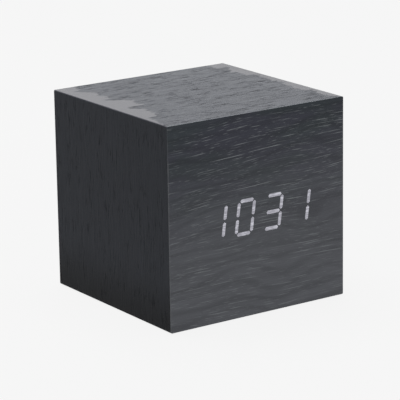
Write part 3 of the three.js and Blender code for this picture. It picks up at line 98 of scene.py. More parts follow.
class MaterialBench:
    """The node tree of one material, with short ways to add nodes and join them."""

    def __init__(self, name: str, colour: Triple, roughness: float, metallic: float) -> None:
        """Starts a material.

        Args:
            name: The finish's name.
            colour: Its plain colour, linear.
            roughness: How matt it is, from 0 to 1.
            metallic: 1 for bare metal, 0 for anything else.
        """
        self.material = bpy.data.materials.new(name)
        self.material.use_nodes = True
        self.material.diffuse_color = (*colour, 1.0)
        self.tree = self.material.node_tree
        self.shader = self.tree.nodes["Principled BSDF"]
        self.paint((*colour, 1.0))
        self.roughen(roughness)
        self.give("Metallic", metallic)
        metres = self.tree.nodes.new("ShaderNodeTexCoord").outputs["Object"]
        self.millimetres = self.stretched((MM, MM, MM), metres)

    def give(self, socket: str, value: Value) -> None:
        """Sets one of the shader's inputs, or joins a node's output to it."""
        self._fill(self.shader.inputs[socket], value)

    def paint(self, value: Value) -> None:
        """Sets the base colour."""
        self.give("Base Color", value)

    def roughen(self, value: Value) -> None:
        """Sets how matt the surface is."""
        self.give("Roughness", value)

    def _fill(self, target: Socket, value: Value) -> None:
        """Sets an input socket, or joins a node's output to it.

        Args:
            target: The input.
            value: What goes into it.
        """
        if isinstance(value, bpy.types.NodeSocket):
            self.tree.links.new(value, target)
        else:
            target.default_value = value

    def node(
        self, kind: str, inputs: dict[Union[str, int], Value], **options: object
    ) -> bpy.types.Node:
        """Adds a node.

        Args:
            kind: Its type, without the words that every shader node's type starts with.
            inputs: What goes into each of its inputs.
            options: Its own settings.

        Returns:
            The node.
        """
        made = self.tree.nodes.new("ShaderNode" + kind)
        for option, choice in options.items():
            setattr(made, option, choice)
        for key, value in inputs.items():
            self._fill(made.inputs[key], value)
        return made

    def stretched(
        self, lengths: Triple, vector: Socket, shift: Triple = (0.0, 0.0, 0.0)
    ) -> Socket:
        """Coordinates in which each axis counts its own length as 1.

        Args:
            lengths: The length that counts as 1 along each axis.
            vector: The coordinates to stretch.
            shift: What is added afterwards.

        Returns:
            The stretched coordinates.
        """
        scale = tuple(1.0 / length for length in lengths)
        mapping = self.node("Mapping", {"Vector": vector, "Scale": scale, "Location": shift})
        return mapping.outputs["Vector"]

    def axes(self, vector: Socket) -> tuple[Socket, Socket, Socket]:
        """The three parts of a vector."""
        parts = self.node("SeparateXYZ", {"Vector": vector}).outputs
        return parts["X"], parts["Y"], parts["Z"]

    def vector(self, x: Value, y: Value, z: Value) -> Socket:
        """A vector from its three parts."""
        return self.node("CombineXYZ", {"X": x, "Y": y, "Z": z}).outputs["Vector"]

    def noise(self, vector: Socket, detail: float = 2.0, roughness: float = 0.5) -> Socket:
        """Cloudy noise, from 0 to 1, one unit coarse."""
        inputs = {"Vector": vector, "Scale": 1.0, "Detail": detail, "Roughness": roughness}
        return self.node("TexNoise", inputs).outputs[0]

    def cloud(
        self, lengths: Triple, detail: float = 2.0, roughness: float = 0.5,
        on: Optional[Socket] = None, shift: Triple = (0.0, 0.0, 0.0),
    ) -> Socket:
        """Cloudy noise, as coarse along each axis as lengths say, in millimetres."""
        vector = self.millimetres if on is None else on
        return self.noise(self.stretched(lengths, vector, shift), detail, roughness)

    def cells(self, vector: Socket, randomness: float = 1.0) -> Socket:
        """The distance from the nearest of scattered points, one unit apart."""
        inputs = {"Vector": vector, "Scale": 1.0, "Randomness": randomness}
        return self.node("TexVoronoi", inputs).outputs["Distance"]

    def drawn(self, number: Value) -> Socket:
        """A number from 0 to 1 that is drawn once for each whole number."""
        return self.node("TexWhiteNoise", {"W": number}, noise_dimensions="1D").outputs["Value"]

    def pores(self, along: Socket, across: Socket, kinds: Sequence[Pores]) -> Socket:
        """The strength of the strongest of several kinds of pores, 0 beside them all."""
        return reduce(self.either, [self._rows(along, across, kind) for kind in kinds])

    def _rows(self, along: Socket, across: Socket, kind: Pores) -> Socket:
        """Lays one kind of pores.

        Args:
            along: Where a point is along their rows.
            across: Where it is across them.
            kind: The kind of pores.

        Returns:
            Its strength on a pore, 0 beside it.
        """
        apart_along, apart_across = 91.0, 7.3
        row = self.calc("DIVIDE", self.added(across, kind.shift), kind.pitch)
        number = self.calc("FLOOR", row)
        seed = self.drawn(number)
        place = self.added(self.product(seed, 1.0 - 2 * kind.width), kind.width)
        off = self.size_of(self.less(self.calc("FRACT", row), place))
        start = self.calc("DIVIDE", along, kind.length)
        start = self.added(start, self.product(seed, apart_along))
        waves = self.noise(self.vector(start, self.product(number, apart_across), 0.0), 1.0)
        sparse = 0.4 * kind.fill
        return self.product(
            self.level(off, kind.width * 0.3, kind.width * 0.6, 1.0, 0.0),
            self.level(waves, 0.72 - sparse, 0.92 - sparse), kind.strength)

    def level(
        self, value: Value, low: float, high: Value, first: float = 0.0, last: float = 1.0
    ) -> Socket:
        """A smooth step: first where the value is up to low, last where it is from high on."""
        inputs = {0: value, 1: low, 2: high, 3: first, 4: last}
        return self.node("MapRange", inputs, interpolation_type="SMOOTHSTEP").outputs[0]

    def vary(self, noise: Socket, first: float, last: float) -> Socket:
        """Runs from first to last over a noise's usual range."""
        return self.level(noise, 0.3, 0.7, first, last)

    def calc(self, operation: str, a: Value, b: Value = 0.0) -> Socket:
        """The sum, product or other result of two numbers."""
        return self.node("Math", {0: a, 1: b}, operation=operation).outputs[0]

    def added(self, a: Value, b: Value) -> Socket:
        """The sum of two numbers."""
        return self.calc("ADD", a, b)

    def less(self, a: Value, b: Value) -> Socket:
        """The first number less the second."""
        return self.calc("SUBTRACT", a, b)

    def either(self, a: Value, b: Value) -> Socket:
        """The greater of two numbers."""
        return self.calc("MAXIMUM", a, b)

    def size_of(self, a: Value) -> Socket:
        """A number without its sign."""
        return self.calc("ABSOLUTE", a)

    def product(self, *values: Value) -> Socket:
        """All the values times each other."""
        return reduce(lambda a, b: self.calc("MULTIPLY", a, b), values)

    def blend(self, share: Value, a: Value, b: Value) -> Socket:
        """The colour that lies this share of the way from a to b."""
        inputs = {0: share, 6: self._four(a), 7: self._four(b)}
        return self.node("Mix", inputs, data_type="RGBA").outputs[2]

    def shaded(self, colour: Value, strength: Value) -> Socket:
        """A colour times a number."""
        inputs = {0: 1.0, 6: self._four(colour), 7: self.vector(strength, strength, strength)}
        return self.node("Mix", inputs, data_type="RGBA", blend_type="MULTIPLY").outputs[2]

    @staticmethod
    def _four(colour: Value) -> Value:
        """A colour with its opacity, where it is written as three numbers."""
        return (*colour, 1.0) if isinstance(colour, tuple) and len(colour) == 3 else colour

    def relief(self, height: Socket, depth: float, strength: float = 1.0) -> None:
        """Raises and sinks the surface by a height from 0 to 1, as deep as depth in millimetres."""
        inputs = {"Height": height, "Distance": depth * MM, "Strength": strength}
        self.give("Normal", self.node("Bump", inputs).outputs["Normal"])


@dataclass(frozen=True)
class Finish:
    """A finish by its name, plain linear colour, gloss and metal. Each kind adds its pattern."""

    name: str
    colour: Triple
    roughness: float = 0.5
    metallic: float = 0.0
    ior: float = 1.45

    def pattern(self, bench: MaterialBench) -> None:
        """Adds what makes this finish more than one flat colour."""
        raise NotImplementedError

    def material(self) -> bpy.types.Material:
        """Makes the finish once, and shares it after that.

        Returns:
            The finish as a material.
        """
        known = bpy.data.materials.get(self.name)
        if known:
            return known
        bench = MaterialBench(self.name, self.colour, self.roughness, self.metallic)
        bench.give("IOR", self.ior)
        self.pattern(bench)
        return bench.material


@dataclass(frozen=True)
class FrontFilm(Finish):
    """The film on the front: grain from side to side, dark and bluish above, paler below, partly as
    its print and partly as painted reflection of the pale floor.
    """

    # low_colour and high_colour: the film's print, with painted reflection of the pale floor
    # lightening the lower part.
    low_colour: Triple = (0.05, 0.052, 0.058)
    high_colour: Triple = (0.0172, 0.021, 0.0248)
    violet_colour: Triple = (0.0195, 0.0205, 0.028)
    pore_colour: Triple = (0.135, 0.145, 0.15)
    # The pale colour of the painted highlight along the upright edges.
    edge_highlight_colour: Triple = (0.055, 0.058, 0.062)
    half_width: float = 41.0
    wander: float = 8.0
    ring_turn: float = 1.3
    ring_swirl: float = 26.0
    kinds: tuple[Pores, ...] = (
        Pores(11.0, 1.35, 0.2, 0.56),
        Pores(4.6, 0.95, 0.22, 0.54, 3.3, 0.85),
        Pores(2.2, 0.75, 0.24, 0.5, 7.1, 0.55),
    )

    def pattern(self, bench: MaterialBench) -> None:
        """Lays slow bands, fine grain and short pale pores, and paints a pale highlight along the
        upright edges.

        Args:
            bench: The material\'s bench.
        """
        x, _, z = bench.axes(bench.millimetres)
        height = self._height(bench, x, z)
        grain = bench.vector(x, 0.0, height)
        fine = bench.cloud((16.0, 1.0, 0.4), 2.0, 0.6, grain)
        rows = bench.cloud((22.0, 1.0, 4.5), 2.0, 0.5, grain, (3.1, 0.0, 7.7))
        where = bench.product(
            bench.level(height, 12.0, 60.0, 0.6, 0.88), bench.level(rows, 0.34, 0.55, 0.15, 1.0),
            bench.level(z, 79.2, 79.9, 1.0, 0.0))
        pores = bench.product(bench.pores(x, height, self.kinds), where)
        plain = bench.shaded(
            self._plain(bench, grain, height), self._tone(bench, grain, height, fine))
        colour = bench.blend(bench.product(pores, 0.8), plain, self.pore_colour)
        # Painted highlight: a thin pale line along the left and right edges of the front, fading
        # out towards the top, where the rounded edge catches light.
        painted_highlight = bench.product(
            bench.level(bench.size_of(x), self.half_width - 0.4, self.half_width - 0.1),
            bench.level(rows, 0.35, 0.55, 0.15, 0.6), bench.level(z, 62.0, 79.0, 1.0, 0.0))
        bench.paint(bench.blend(painted_highlight, colour, self.edge_highlight_colour))
        bench.roughen(bench.vary(fine, 0.5, 0.42))
        bench.relief(bench.less(fine, bench.product(pores, 0.5)), 0.05, 0.5)

    def _height(self, bench: MaterialBench, x: Socket, z: Socket) -> Socket:
        """How high a point lies in the grain, which wavers and rises a little to the right.

        Args:
            bench: The material's bench.
            x: Where it is from side to side.
            z: How high it is on the front.

        Returns:
            Its height in the grain.
        """
        slow = bench.cloud((60.0, 80.0, 30.0), 1.0)
        wavering = bench.added(z, bench.product(bench.less(slow, 0.5), self.wander))
        return bench.less(wavering, bench.product(x, bench.level(z, 10.0, 80.0, 0.008, 0.04)))

    def _plain(self, bench: MaterialBench, grain: Socket, height: Socket) -> Socket:
        """The film's colour under its grain, with violet clouds above, paler towards the bottom:
        partly print, partly painted reflection of the pale floor.

        Args:
            bench: The material's bench.
            grain: The coordinates that the grain follows.
            height: How high a point lies in the grain.

        Returns:
            The colour.
        """
        tint = bench.cloud((34.0, 1.0, 9.0), 2.0, 0.5, grain, (1.7, 0.0, 4.4))
        dark = bench.blend(bench.level(tint, 0.4, 0.62), self.high_colour, self.violet_colour)
        # Pale at the foot, dark at the top: the film's print, lightened low down by painted
        # reflection of the pale floor.
        share = bench.calc("POWER", bench.level(height, 13.0, 80.0), 1.3)
        return bench.blend(share, self.low_colour, dark)

    def _tone(
        self, bench: MaterialBench, grain: Socket, height: Socket, fine: Socket
    ) -> Socket:
        """How much slow bands, fine grain and year rings lighten or darken the film.

        Args:
            bench: The material's bench.
            grain: The coordinates that the grain follows.
            height: How high a point lies in the grain.
            fine: The fine grain.

        Returns:
            A number that the colour is multiplied by.
        """
        bands = bench.cloud((60.0, 1.0, 5.5), 4.0, 0.6, grain)
        swirl = bench.cloud((45.0, 1.0, 16.0), 1.0, 0.5, grain, (0.0, 0.0, 9.1))
        turns = bench.added(
            bench.product(height, self.ring_turn), bench.product(swirl, self.ring_swirl))
        return bench.product(
            bench.vary(bands, 0.9, 1.1), bench.level(fine, 0.25, 0.75, 0.92, 1.08),
            bench.level(bench.calc("SINE", turns), -1.0, 0.3, 0.88, 1.03))


@dataclass(frozen=True)
class WrapFilm(Finish):
    """The film that runs round the cube: its grain follows it over the top and down the sides."""

    seam: str = "unrolled"
    half_top: float = 41.0
    low_reach: float = 121.0
    # How far up from the bottom of the sides the painted shade reaches.
    shaded_foot_height: float = 24.0
    # The colour and gloss of the pale patches beside the top's folds: painted sheen, a reflection
    # painted into the colour.
    sheen_colour: Triple = (0.0195, 0.0195, 0.0225)
    sheen_roughness: float = 0.335
    first_step: float = 14.0
    step_pitch: float = 18.5
    narrow_pitch: float = 2.7
    narrow_slant: float = 0.12
    least_width: float = 4.5
    broad_width: float = 9.5
    narrow_width: float = 3.0
    fray_width: float = 5.0
    kinds: tuple[Pores, ...] = (
        Pores(6.0, 1.5, 0.32, 0.55),
        Pores(3.4, 1.05, 0.32, 0.5, 2.2, 0.8),
    )

    def pattern(self, bench: MaterialBench) -> None:
        """Lays dark dashes along the grain, and pale patches of painted sheen beside the top's
        folds.

        Args:
            bench: The material\'s bench.
        """
        unrolled = bench.node("UVMap", {}, uv_map=self.seam).outputs[0]
        along, across, _ = bench.axes(unrolled)
        slow = bench.cloud((40.0, 30.0, 1.0), 1.0, 0.5, unrolled)
        across = bench.added(across, bench.product(bench.less(slow, 0.5), 5.0))
        grain = bench.vector(along, across, 0.0)
        reach = bench.size_of(along)
        on_side = bench.level(reach, self.half_top - 0.3, self.half_top + 0.3)
        bands = bench.cloud((22.0, 1.7, 1.0), 3.0, 0.6, grain)
        fine = bench.cloud((9.0, 0.4, 1.0), 2.0, 0.6, grain)
        rows = bench.cloud((14.0, 4.5, 1.0), 1.0, 0.5, grain, (9.0, 4.0, 0.0))
        marks = bench.cloud((6.0, 0.85, 1.0), 3.0, 0.6, grain, (5.0, 0.0, 0.0))
        thin = bench.product(bench.pores(along, across, self.kinds), 0.95)
        pores = bench.product(
            bench.either(thin, bench.level(marks, 0.52, 0.65)),
            bench.level(rows, 0.4, 0.6, 0.15, 1.0), bench.level(on_side, 0.0, 1.0, 1.0, 0.5))
        drift = bench.product(
            bench.vary(bands, 0.88, 1.12), bench.level(fine, 0.25, 0.75, 0.92, 1.08))
        tone = bench.blend(bench.product(on_side, 0.6), drift, (1.0, 1.0, 1.0))
        # Painted sheen: pale patches beside the top's folds that stand in for a reflection.
        painted_highlight = self._painted_sheen(bench, along, across, reach)
        depth = bench.level(on_side, 0.0, 1.0, 0.65, 0.75)
        keep = bench.less(1.0, bench.product(pores, depth))
        # Painted shade: the sides darken to 0.3 of their colour over their lowest 24 millimetres,
        # as shade near the floor.
        foot = bench.level(reach, self.low_reach - self.shaded_foot_height, self.low_reach, 1.0, 0.3)
        patterned = bench.product(tone, keep, bench.less(1.0, painted_highlight))
        strength = bench.product(bench.added(patterned, painted_highlight), foot)
        bench.paint(bench.shaded(bench.blend(painted_highlight, self.colour, self.sheen_colour), strength))
        matt = bench.added(bench.vary(bands, 0.43, 0.38), bench.product(pores, 0.34))
        bench.roughen(bench.blend(painted_highlight, matt, (self.sheen_roughness,) * 3))
        off_highlight = bench.less(1.0, bench.product(painted_highlight, 0.8))
        bench.relief(bench.product(bench.less(fine, pores), off_highlight), 0.1, 0.6)

    def _painted_sheen(
        self, bench: MaterialBench, along: Socket, across: Socket, reach: Socket
    ) -> Socket:
        """The share of painted sheen: strips beside the top's two folds that widen forwards in
        steps.

        Args:
            bench: The material's bench.
            along: Where a point is round the cube, from the middle of the top.
            across: Where it is from front to back.
            reach: How far round it is, to either side.

        Returns:
            1 where the sheen is painted, 0 where it isn't.
        """
        left_lot, right_lot = 1575.0, 3718.0
        lot = self._by_side(bench, along, left_lot, right_lot)
        forward = bench.less(self.first_step, across)
        step = bench.calc("DIVIDE", forward, self.step_pitch)
        broad = bench.product(
            self._steps(bench, forward, self.step_pitch, lot),
            bench.level(bench.calc("FRACT", step), 0.0, 0.4))
        slanted = bench.less(across, bench.product(reach, self.narrow_slant))
        narrow = self._steps(bench, slanted, self.narrow_pitch, lot)
        steps = bench.added(
            bench.product(broad, self.broad_width), bench.product(narrow, self.narrow_width))
        full_from = self._by_side(bench, along, -12.0, -36.0)
        share = bench.product(
            self._by_side(bench, along, 0.95, 0.6),
            bench.level(across, -40.0, full_from, 0.1, 1.0))
        frayed = bench.cloud((5.0, 0.9, 1.0), 2.0, 0.5, bench.vector(along, across, 0.0))
        ragged = bench.added(
            bench.product(bench.added(self.least_width, steps), share),
            bench.product(bench.less(frayed, 0.5), self.fray_width))
        beyond = bench.less(reach, bench.less(self.half_top, ragged))
        on_top = bench.level(reach, self.half_top - 0.2, self.half_top + 0.3, 1.0, 0.0)
        strength = self._by_side(bench, along, 1.0, 0.95)
        return bench.product(bench.level(beyond, 0.0, 0.9), on_top, strength)

    @staticmethod
    def _by_side(bench: MaterialBench, along: Socket, left: float, right: float) -> Socket:
        """One number on the left of the top's middle, another on the right."""
        return bench.level(along, -1.0, 1.0, left, right)

    @staticmethod
    def _steps(bench: MaterialBench, across: Socket, pitch: float, lot: Socket) -> Socket:
        """A number from 0 to 1 for each row of this pitch, the same all along it."""
        row = bench.calc("FLOOR", bench.calc("DIVIDE", across, pitch))
        return bench.drawn(bench.added(row, lot))


@dataclass(frozen=True)
class Fibreboard(Finish):
    """Dyed fibreboard: fine felted fibres, paler flecks."""

    fleck_gain: float = 3.2

    def pattern(self, bench: MaterialBench) -> None:
        """Scatters fibres and flecks.

        Args:
            bench: The material\'s bench.
        """
        fibres = bench.cloud((0.9, 0.9, 0.9), 5.0, 0.7)
        flecks = bench.level(bench.cloud((0.35, 0.35, 0.35)), 0.6, 0.75)
        base = bench.shaded(self.colour, bench.vary(fibres, 0.65, 1.35))
        pale = tuple(self.fleck_gain * part for part in self.colour)
        bench.paint(bench.blend(bench.product(flecks, 0.7), base, pale))
        bench.roughen(bench.vary(fibres, 0.8, 0.97))
        bench.relief(fibres, 0.12, 0.6)


@dataclass(frozen=True)
class Softwood(Finish):
    """Raw softwood with upright grain."""

    late_colour: Triple = (0.2, 0.11, 0.05)
    ring_turn: float = 3.4
    ring_swirl: float = 16.0

    def pattern(self, bench: MaterialBench) -> None:
        """Lays year rings as long wavering lines.

        Args:
            bench: The material\'s bench.
        """
        wander = bench.cloud((9.0, 9.0, 60.0))
        x, y, _ = bench.axes(bench.millimetres)
        swirl = bench.product(wander, self.ring_swirl)
        way = bench.added(bench.product(x, self.ring_turn), bench.added(y, swirl))
        fibres = bench.cloud((0.3, 0.3, 9.0))
        late = bench.level(bench.calc("SINE", way), -0.4, 0.95, 0.0, 0.75)
        base = bench.blend(late, self.colour, self.late_colour)
        bench.paint(bench.shaded(base, bench.vary(fibres, 0.82, 1.15)))
        bench.roughen(bench.vary(fibres, 0.9, 0.75))
        bench.relief(fibres, 0.08, 0.6)


@dataclass(frozen=True)
class Foam(Finish):
    """Fine closed-cell foam."""

    def pattern(self, bench: MaterialBench) -> None:
        """Dots the surface with small open cells.

        Args:
            bench: The material\'s bench.
        """
        cells = bench.cells(bench.stretched((0.45, 0.45, 0.45), bench.millimetres))
        bench.paint(bench.shaded(self.colour, bench.level(cells, 0.05, 0.55, 0.55, 1.3)))
        bench.roughen(bench.level(cells, 0.1, 0.5, 0.98, 0.88))
        bench.relief(cells, 0.15, 0.7)


@dataclass(frozen=True)
class LitPlastic(Finish):
    """A light guide with the lamp on: it glows through what the film leaves of its grain."""

    glow: float = 0.4
    day_share: float = 0.25
    shade_colour: Triple = (0.36, 0.355, 0.41)

    def pattern(self, bench: MaterialBench) -> None:
        """Crosses the glow with fine darker grain lines.

        Args:
            bench: The material\'s bench.
        """
        broad = bench.cloud((3.2, 1.0, 1.1))
        lines = bench.cloud((4.0, 1.0, 0.5), 2.0, 0.6)
        shade = bench.either(
            bench.level(lines, 0.44, 0.58, 0.0, 0.9), bench.level(broad, 0.42, 0.6, 0.0, 0.75))
        colour = bench.blend(shade, self.colour, self.shade_colour)
        bench.paint(bench.shaded(colour, self.day_share))
        bench.give("Emission Color", colour)
        bench.give("Emission Strength", self.glow)


@dataclass(frozen=True)
class MilkyPlastic(Finish):
    """A light guide or lens whose lamp is off."""

    def pattern(self, bench: MaterialBench) -> None:
        """Clouds the plastic faintly.

        Args:
            bench: The material\'s bench.
        """
        cloud = bench.cloud((2.5, 2.5, 2.5), 3.0)
        bench.paint(bench.shaded(self.colour, bench.vary(cloud, 0.86, 1.1)))
        bench.roughen(bench.vary(cloud, 0.25, 0.4))


@dataclass(frozen=True)
class MouldedPlastic(Finish):
    """Moulded plastic with the fine even texture of a spark-eroded tool."""

    pit: float = 0.32
    depth: float = 0.03

    def pattern(self, bench: MaterialBench) -> None:
        """Pits the surface finely, and lets its gloss drift.

        Args:
            bench: The material\'s bench.
        """
        pits = bench.cloud((self.pit,) * 3, 3.0, 0.6)
        drift = bench.cloud((14.0, 14.0, 14.0))
        tone = bench.product(bench.vary(pits, 0.86, 1.14), bench.vary(drift, 0.93, 1.07))
        bench.paint(bench.shaded(self.colour, tone))
        matt = bench.vary(drift, self.roughness - 0.05, self.roughness + 0.05)
        bench.roughen(bench.added(matt, bench.level(pits, 0.4, 0.7, 0.0, 0.08)))
        bench.relief(pits, self.depth, 0.7)


@dataclass(frozen=True)
class BoardMask(Finish):
    """A printed circuit board: solder mask with tracks under it and small tinned dots."""

    track_colour: Triple = (0.035, 0.16, 0.075)
    tin_colour: Triple = (0.55, 0.55, 0.53)
    track_pitch: float = 1.27

    def pattern(self, bench: MaterialBench) -> None:
        """Draws tracks in rows and columns, and dots on some of their crossings.

        Args:
            bench: The material\'s bench.
        """
        x, _, z = bench.axes(bench.millimetres)
        turned = bench.level(bench.cloud((11.0, 80.0, 8.0), 0.0), 0.48, 0.5)
        tracks = bench.added(
            bench.product(self._lines(bench, z), turned),
            bench.product(self._lines(bench, x), bench.less(1.0, turned)))
        colour = bench.blend(bench.product(tracks, 0.7), self.colour, self.track_colour)
        pitch = 2 * self.track_pitch
        places = bench.stretched((pitch, 90.0, pitch), bench.millimetres)
        dots = bench.level(bench.cells(places, 0.55), 0.14, 0.17, 1.0, 0.0)
        bench.paint(bench.blend(dots, colour, self.tin_colour))
        bench.give("Metallic", dots)
        bench.roughen(bench.level(dots, 0.0, 1.0, 0.34, 0.28))
        bench.relief(bench.added(bench.product(tracks, 0.5), dots), 0.04, 0.6)

    def _lines(self, bench: MaterialBench, along: Socket) -> Socket:
        """Lines a track's pitch apart, a third of it wide."""
        wave = bench.calc("PINGPONG", along, self.track_pitch / 2)
        return bench.level(wave, self.track_pitch * 0.3, self.track_pitch * 0.36)


@dataclass(frozen=True)
class PlatedMetal(Finish):
    """Rolled and plated sheet, wire or turned metal: faint drawn lines and small dull spots."""

    line: Triple = (6.0, 0.15, 0.15)

    def pattern(self, bench: MaterialBench) -> None:
        """Draws the lines and lets the gloss drift.

        Args:
            bench: The material\'s bench.
        """
        lines = bench.cloud(self.line, 2.0, 0.6)
        spots = bench.cloud((1.6, 1.6, 1.6), 3.0, 0.6)
        bench.paint(bench.shaded(self.colour, bench.vary(lines, 0.88, 1.08)))
        dull = bench.level(spots, 0.45, 0.75, self.roughness, self.roughness + 0.18)
        bench.roughen(bench.added(dull, bench.vary(lines, -0.04, 0.06)))
        bench.relief(lines, 0.01, 0.6)


@dataclass(frozen=True)
class CellJacket(Finish):
    """A dry cell: a plain printed jacket with a pale shoulder, and plated ends."""

    nub_end: float = 24.15
    shoulder_colour: Triple = (0.2, 0.21, 0.21)
    end_colour: Triple = (0.62, 0.62, 0.6)

    def pattern(self, bench: MaterialBench) -> None:
        """Bands the jacket by its length, from the nub backwards, in plain generic colours.

        Args:
            bench: The material\'s bench.
        """
        x, _, _ = bench.axes(bench.millimetres)
        back = bench.less(abs(self.nub_end), bench.product(x, math.copysign(1.0, self.nub_end)))
        shoulder = bench.level(back, 11.6, 11.8, 1.0, 0.0)
        stripe = bench.product(
            bench.level(back, 12.5, 12.6), bench.level(back, 13.1, 13.2, 1.0, 0.0))
        metal = bench.either(
            bench.level(back, 1.45, 1.55, 1.0, 0.0), bench.level(back, 44.0, 44.1))
        scuffs = bench.cloud((3.0, 0.5, 0.5), 3.0, 0.65)
        pale = bench.either(shoulder, stripe)
        jacket = bench.shaded(
            bench.blend(pale, self.colour, self.shoulder_colour),
            bench.level(scuffs, 0.3, 0.75, 0.96, 1.07))
        bench.paint(bench.blend(metal, jacket, self.end_colour))
        bench.give("Metallic", metal)
        bench.roughen(bench.level(scuffs, 0.3, 0.8, 0.3, 0.42))
        bench.relief(scuffs, 0.006, 0.4)


@dataclass(frozen=True)
class ChipBody(Finish):
    """A chip: a matt moulded body between two rows of tinned legs."""

    middle_z: float = 38.1
    body_half: float = 3.76
    leg_colour: Triple = (0.6, 0.6, 0.58)

    def pattern(self, bench: MaterialBench) -> None:
        """Tells the legs from the body by how far out they are.

        Args:
            bench: The material\'s bench.
        """
        _, _, z = bench.axes(bench.millimetres)
        off = bench.size_of(bench.less(z, self.middle_z))
        leg = bench.level(off, self.body_half - 0.02, self.body_half + 0.02)
        pits = bench.cloud((0.2, 0.2, 0.2), 3.0, 0.6)
        body = bench.shaded(self.colour, bench.vary(pits, 0.8, 1.2))
        bench.paint(bench.blend(leg, body, self.leg_colour))
        bench.give("Metallic", leg)
        bench.roughen(bench.level(leg, 0.0, 1.0, 0.62, 0.3))
        bench.relief(pits, 0.02, 0.6)


@dataclass(frozen=True)
class SleevedCan(Finish):
    """A can capacitor: a shrunk sleeve with a pale stripe down one side, and a bare top."""

    axis_x: float = 8.0
    top_y: float = 33.85
    stripe_colour: Triple = (0.5, 0.52, 0.5)
    can_colour: Triple = (0.62, 0.63, 0.64)

    def pattern(self, bench: MaterialBench) -> None:
        """Paints the stripe on the side towards +X, and bares the top.

        Args:
            bench: The material\'s bench.
        """
        x, y, _ = bench.axes(bench.millimetres)
        stripe = bench.level(bench.less(x, self.axis_x), 2.0, 2.05)
        top = bench.level(y, self.top_y - 0.03, self.top_y + 0.03)
        sleeve = bench.blend(stripe, self.colour, self.stripe_colour)
        rubs = bench.cloud((0.8, 2.5, 0.8), 3.0)
        can = bench.blend(top, sleeve, self.can_colour)
        bench.paint(bench.shaded(can, bench.vary(rubs, 0.9, 1.12)))
        bench.give("Metallic", top)
        bench.roughen(bench.vary(rubs, 0.28, 0.42))
        bench.relief(rubs, 0.02, 0.4)


@dataclass(frozen=True)
class FeltedCan(Finish):
    """A microphone capsule: a pressed can with a disc of felt in its mouth."""

    middle: tuple[float, float] = (-18.0, 56.9)
    mouth_y: float = 29.35
    felt_radius: float = 2.55
    felt_colour: Triple = (0.015, 0.015, 0.016)

    def pattern(self, bench: MaterialBench) -> None:
        """Tells the felt from the can by its place in the mouth.

        Args:
            bench: The material\'s bench.
        """
        x, y, z = bench.axes(bench.millimetres)
        side = bench.less(x, self.middle[0])
        rise = bench.less(z, self.middle[1])
        squares = bench.added(bench.product(side, side), bench.product(rise, rise))
        off = bench.calc("SQRT", squares)
        felt = bench.product(
            bench.level(y, self.mouth_y - 0.02, self.mouth_y),
            bench.level(off, self.felt_radius, self.felt_radius + 0.03, 1.0, 0.0))
        fibres = bench.cloud((0.18, 0.18, 0.18), 4.0, 0.7)
        dark = bench.shaded(self.felt_colour, bench.vary(fibres, 0.5, 1.8))
        bench.paint(bench.blend(felt, self.colour, dark))
        bench.give("Metallic", bench.less(1.0, felt))
        bench.roughen(bench.level(felt, 0.0, 1.0, self.roughness, 0.95))
        bench.relief(bench.product(fibres, felt), 0.1, 0.7)


@dataclass(frozen=True)
class RibbonJacket(Finish):
    """Flat ribbon cable: grey jackets side by side, with the first one marked in red."""

    edge_x: float = -21.08
    pitch: float = 1.27
    mark_colour: Triple = (0.2, 0.015, 0.012)

    def pattern(self, bench: MaterialBench) -> None:
        """Paints the outermost wire, sinks a groove between the jackets, and darkens the groove
        with painted shade.

        Args:
            bench: The material\'s bench.
        """
        x, _, _ = bench.axes(bench.millimetres)
        way = bench.less(x, self.edge_x)
        mark = bench.level(way, self.pitch - 0.05, self.pitch + 0.05, 1.0, 0.0)
        ridge = bench.level(bench.calc("PINGPONG", way, self.pitch / 2), 0.0, 0.42)
        drift = bench.cloud((1.2, 5.0, 5.0), 3.0)
        base = bench.blend(mark, self.colour, self.mark_colour)
        # Painted shade: the colour drops to 0.35 in the grooves between the jackets.
        tone = bench.product(
            bench.vary(drift, 0.9, 1.1), bench.level(ridge, 0.0, 0.7, 0.35, 1.0))
        bench.paint(bench.shaded(base, tone))
        bench.roughen(bench.vary(drift, 0.45, 0.6))
        bench.relief(ridge, 0.25, 0.8)


@dataclass(frozen=True)
class LeadJacket(Finish):
    """The soft jacket of a thin lead, with faint flow lines along it."""

    def pattern(self, bench: MaterialBench) -> None:
        """Lets colour and gloss drift.

        Args:
            bench: The material\'s bench.
        """
        drift = bench.cloud((1.0, 1.0, 3.0), 3.0, 0.6)
        bench.paint(bench.shaded(self.colour, bench.vary(drift, 0.82, 1.18)))
        bench.roughen(bench.vary(drift, self.roughness - 0.07, self.roughness + 0.07))
        bench.relief(drift, 0.03, 0.4)


FRONT_FILM = FrontFilm("front_wood_film", (0.045, 0.047, 0.054), 0.46, ior=1.2)
WRAP_FILM = WrapFilm("wrap_wood_film", (0.0115, 0.0128, 0.0162), 0.42, ior=1.145)
FIBREBOARD = Fibreboard("dyed_fibreboard", (0.0175, 0.0166, 0.0162), 0.9)
SOFTWOOD = Softwood("batten_softwood", (0.42, 0.28, 0.15), 0.8)
PAD_FOAM = Foam("soft_pad_foam", (0.018, 0.018, 0.019), 0.95)
LIT_GUIDE = LitPlastic("lit_light_guide", (0.72, 0.72, 0.8), 0.4)
UNLIT_LENS = MilkyPlastic("unlit_lens", (0.09, 0.09, 0.095), 0.3)
COVER_PLASTIC = MouldedPlastic("cover_black_plastic", (0.017, 0.017, 0.018), 0.55)
INNER_PLASTIC = MouldedPlastic(
    "inner_black_plastic", (0.014, 0.014, 0.015), 0.45, pit=0.5, depth=0.015)
BUTTON_PLASTIC = MouldedPlastic(
    "button_dark_plastic", (0.035, 0.035, 0.038), 0.4, pit=0.25, depth=0.015)
PLUNGER_PLASTIC = MouldedPlastic(
    "plunger_black_plastic", (0.022, 0.022, 0.022), 0.35, pit=0.3, depth=0.01)
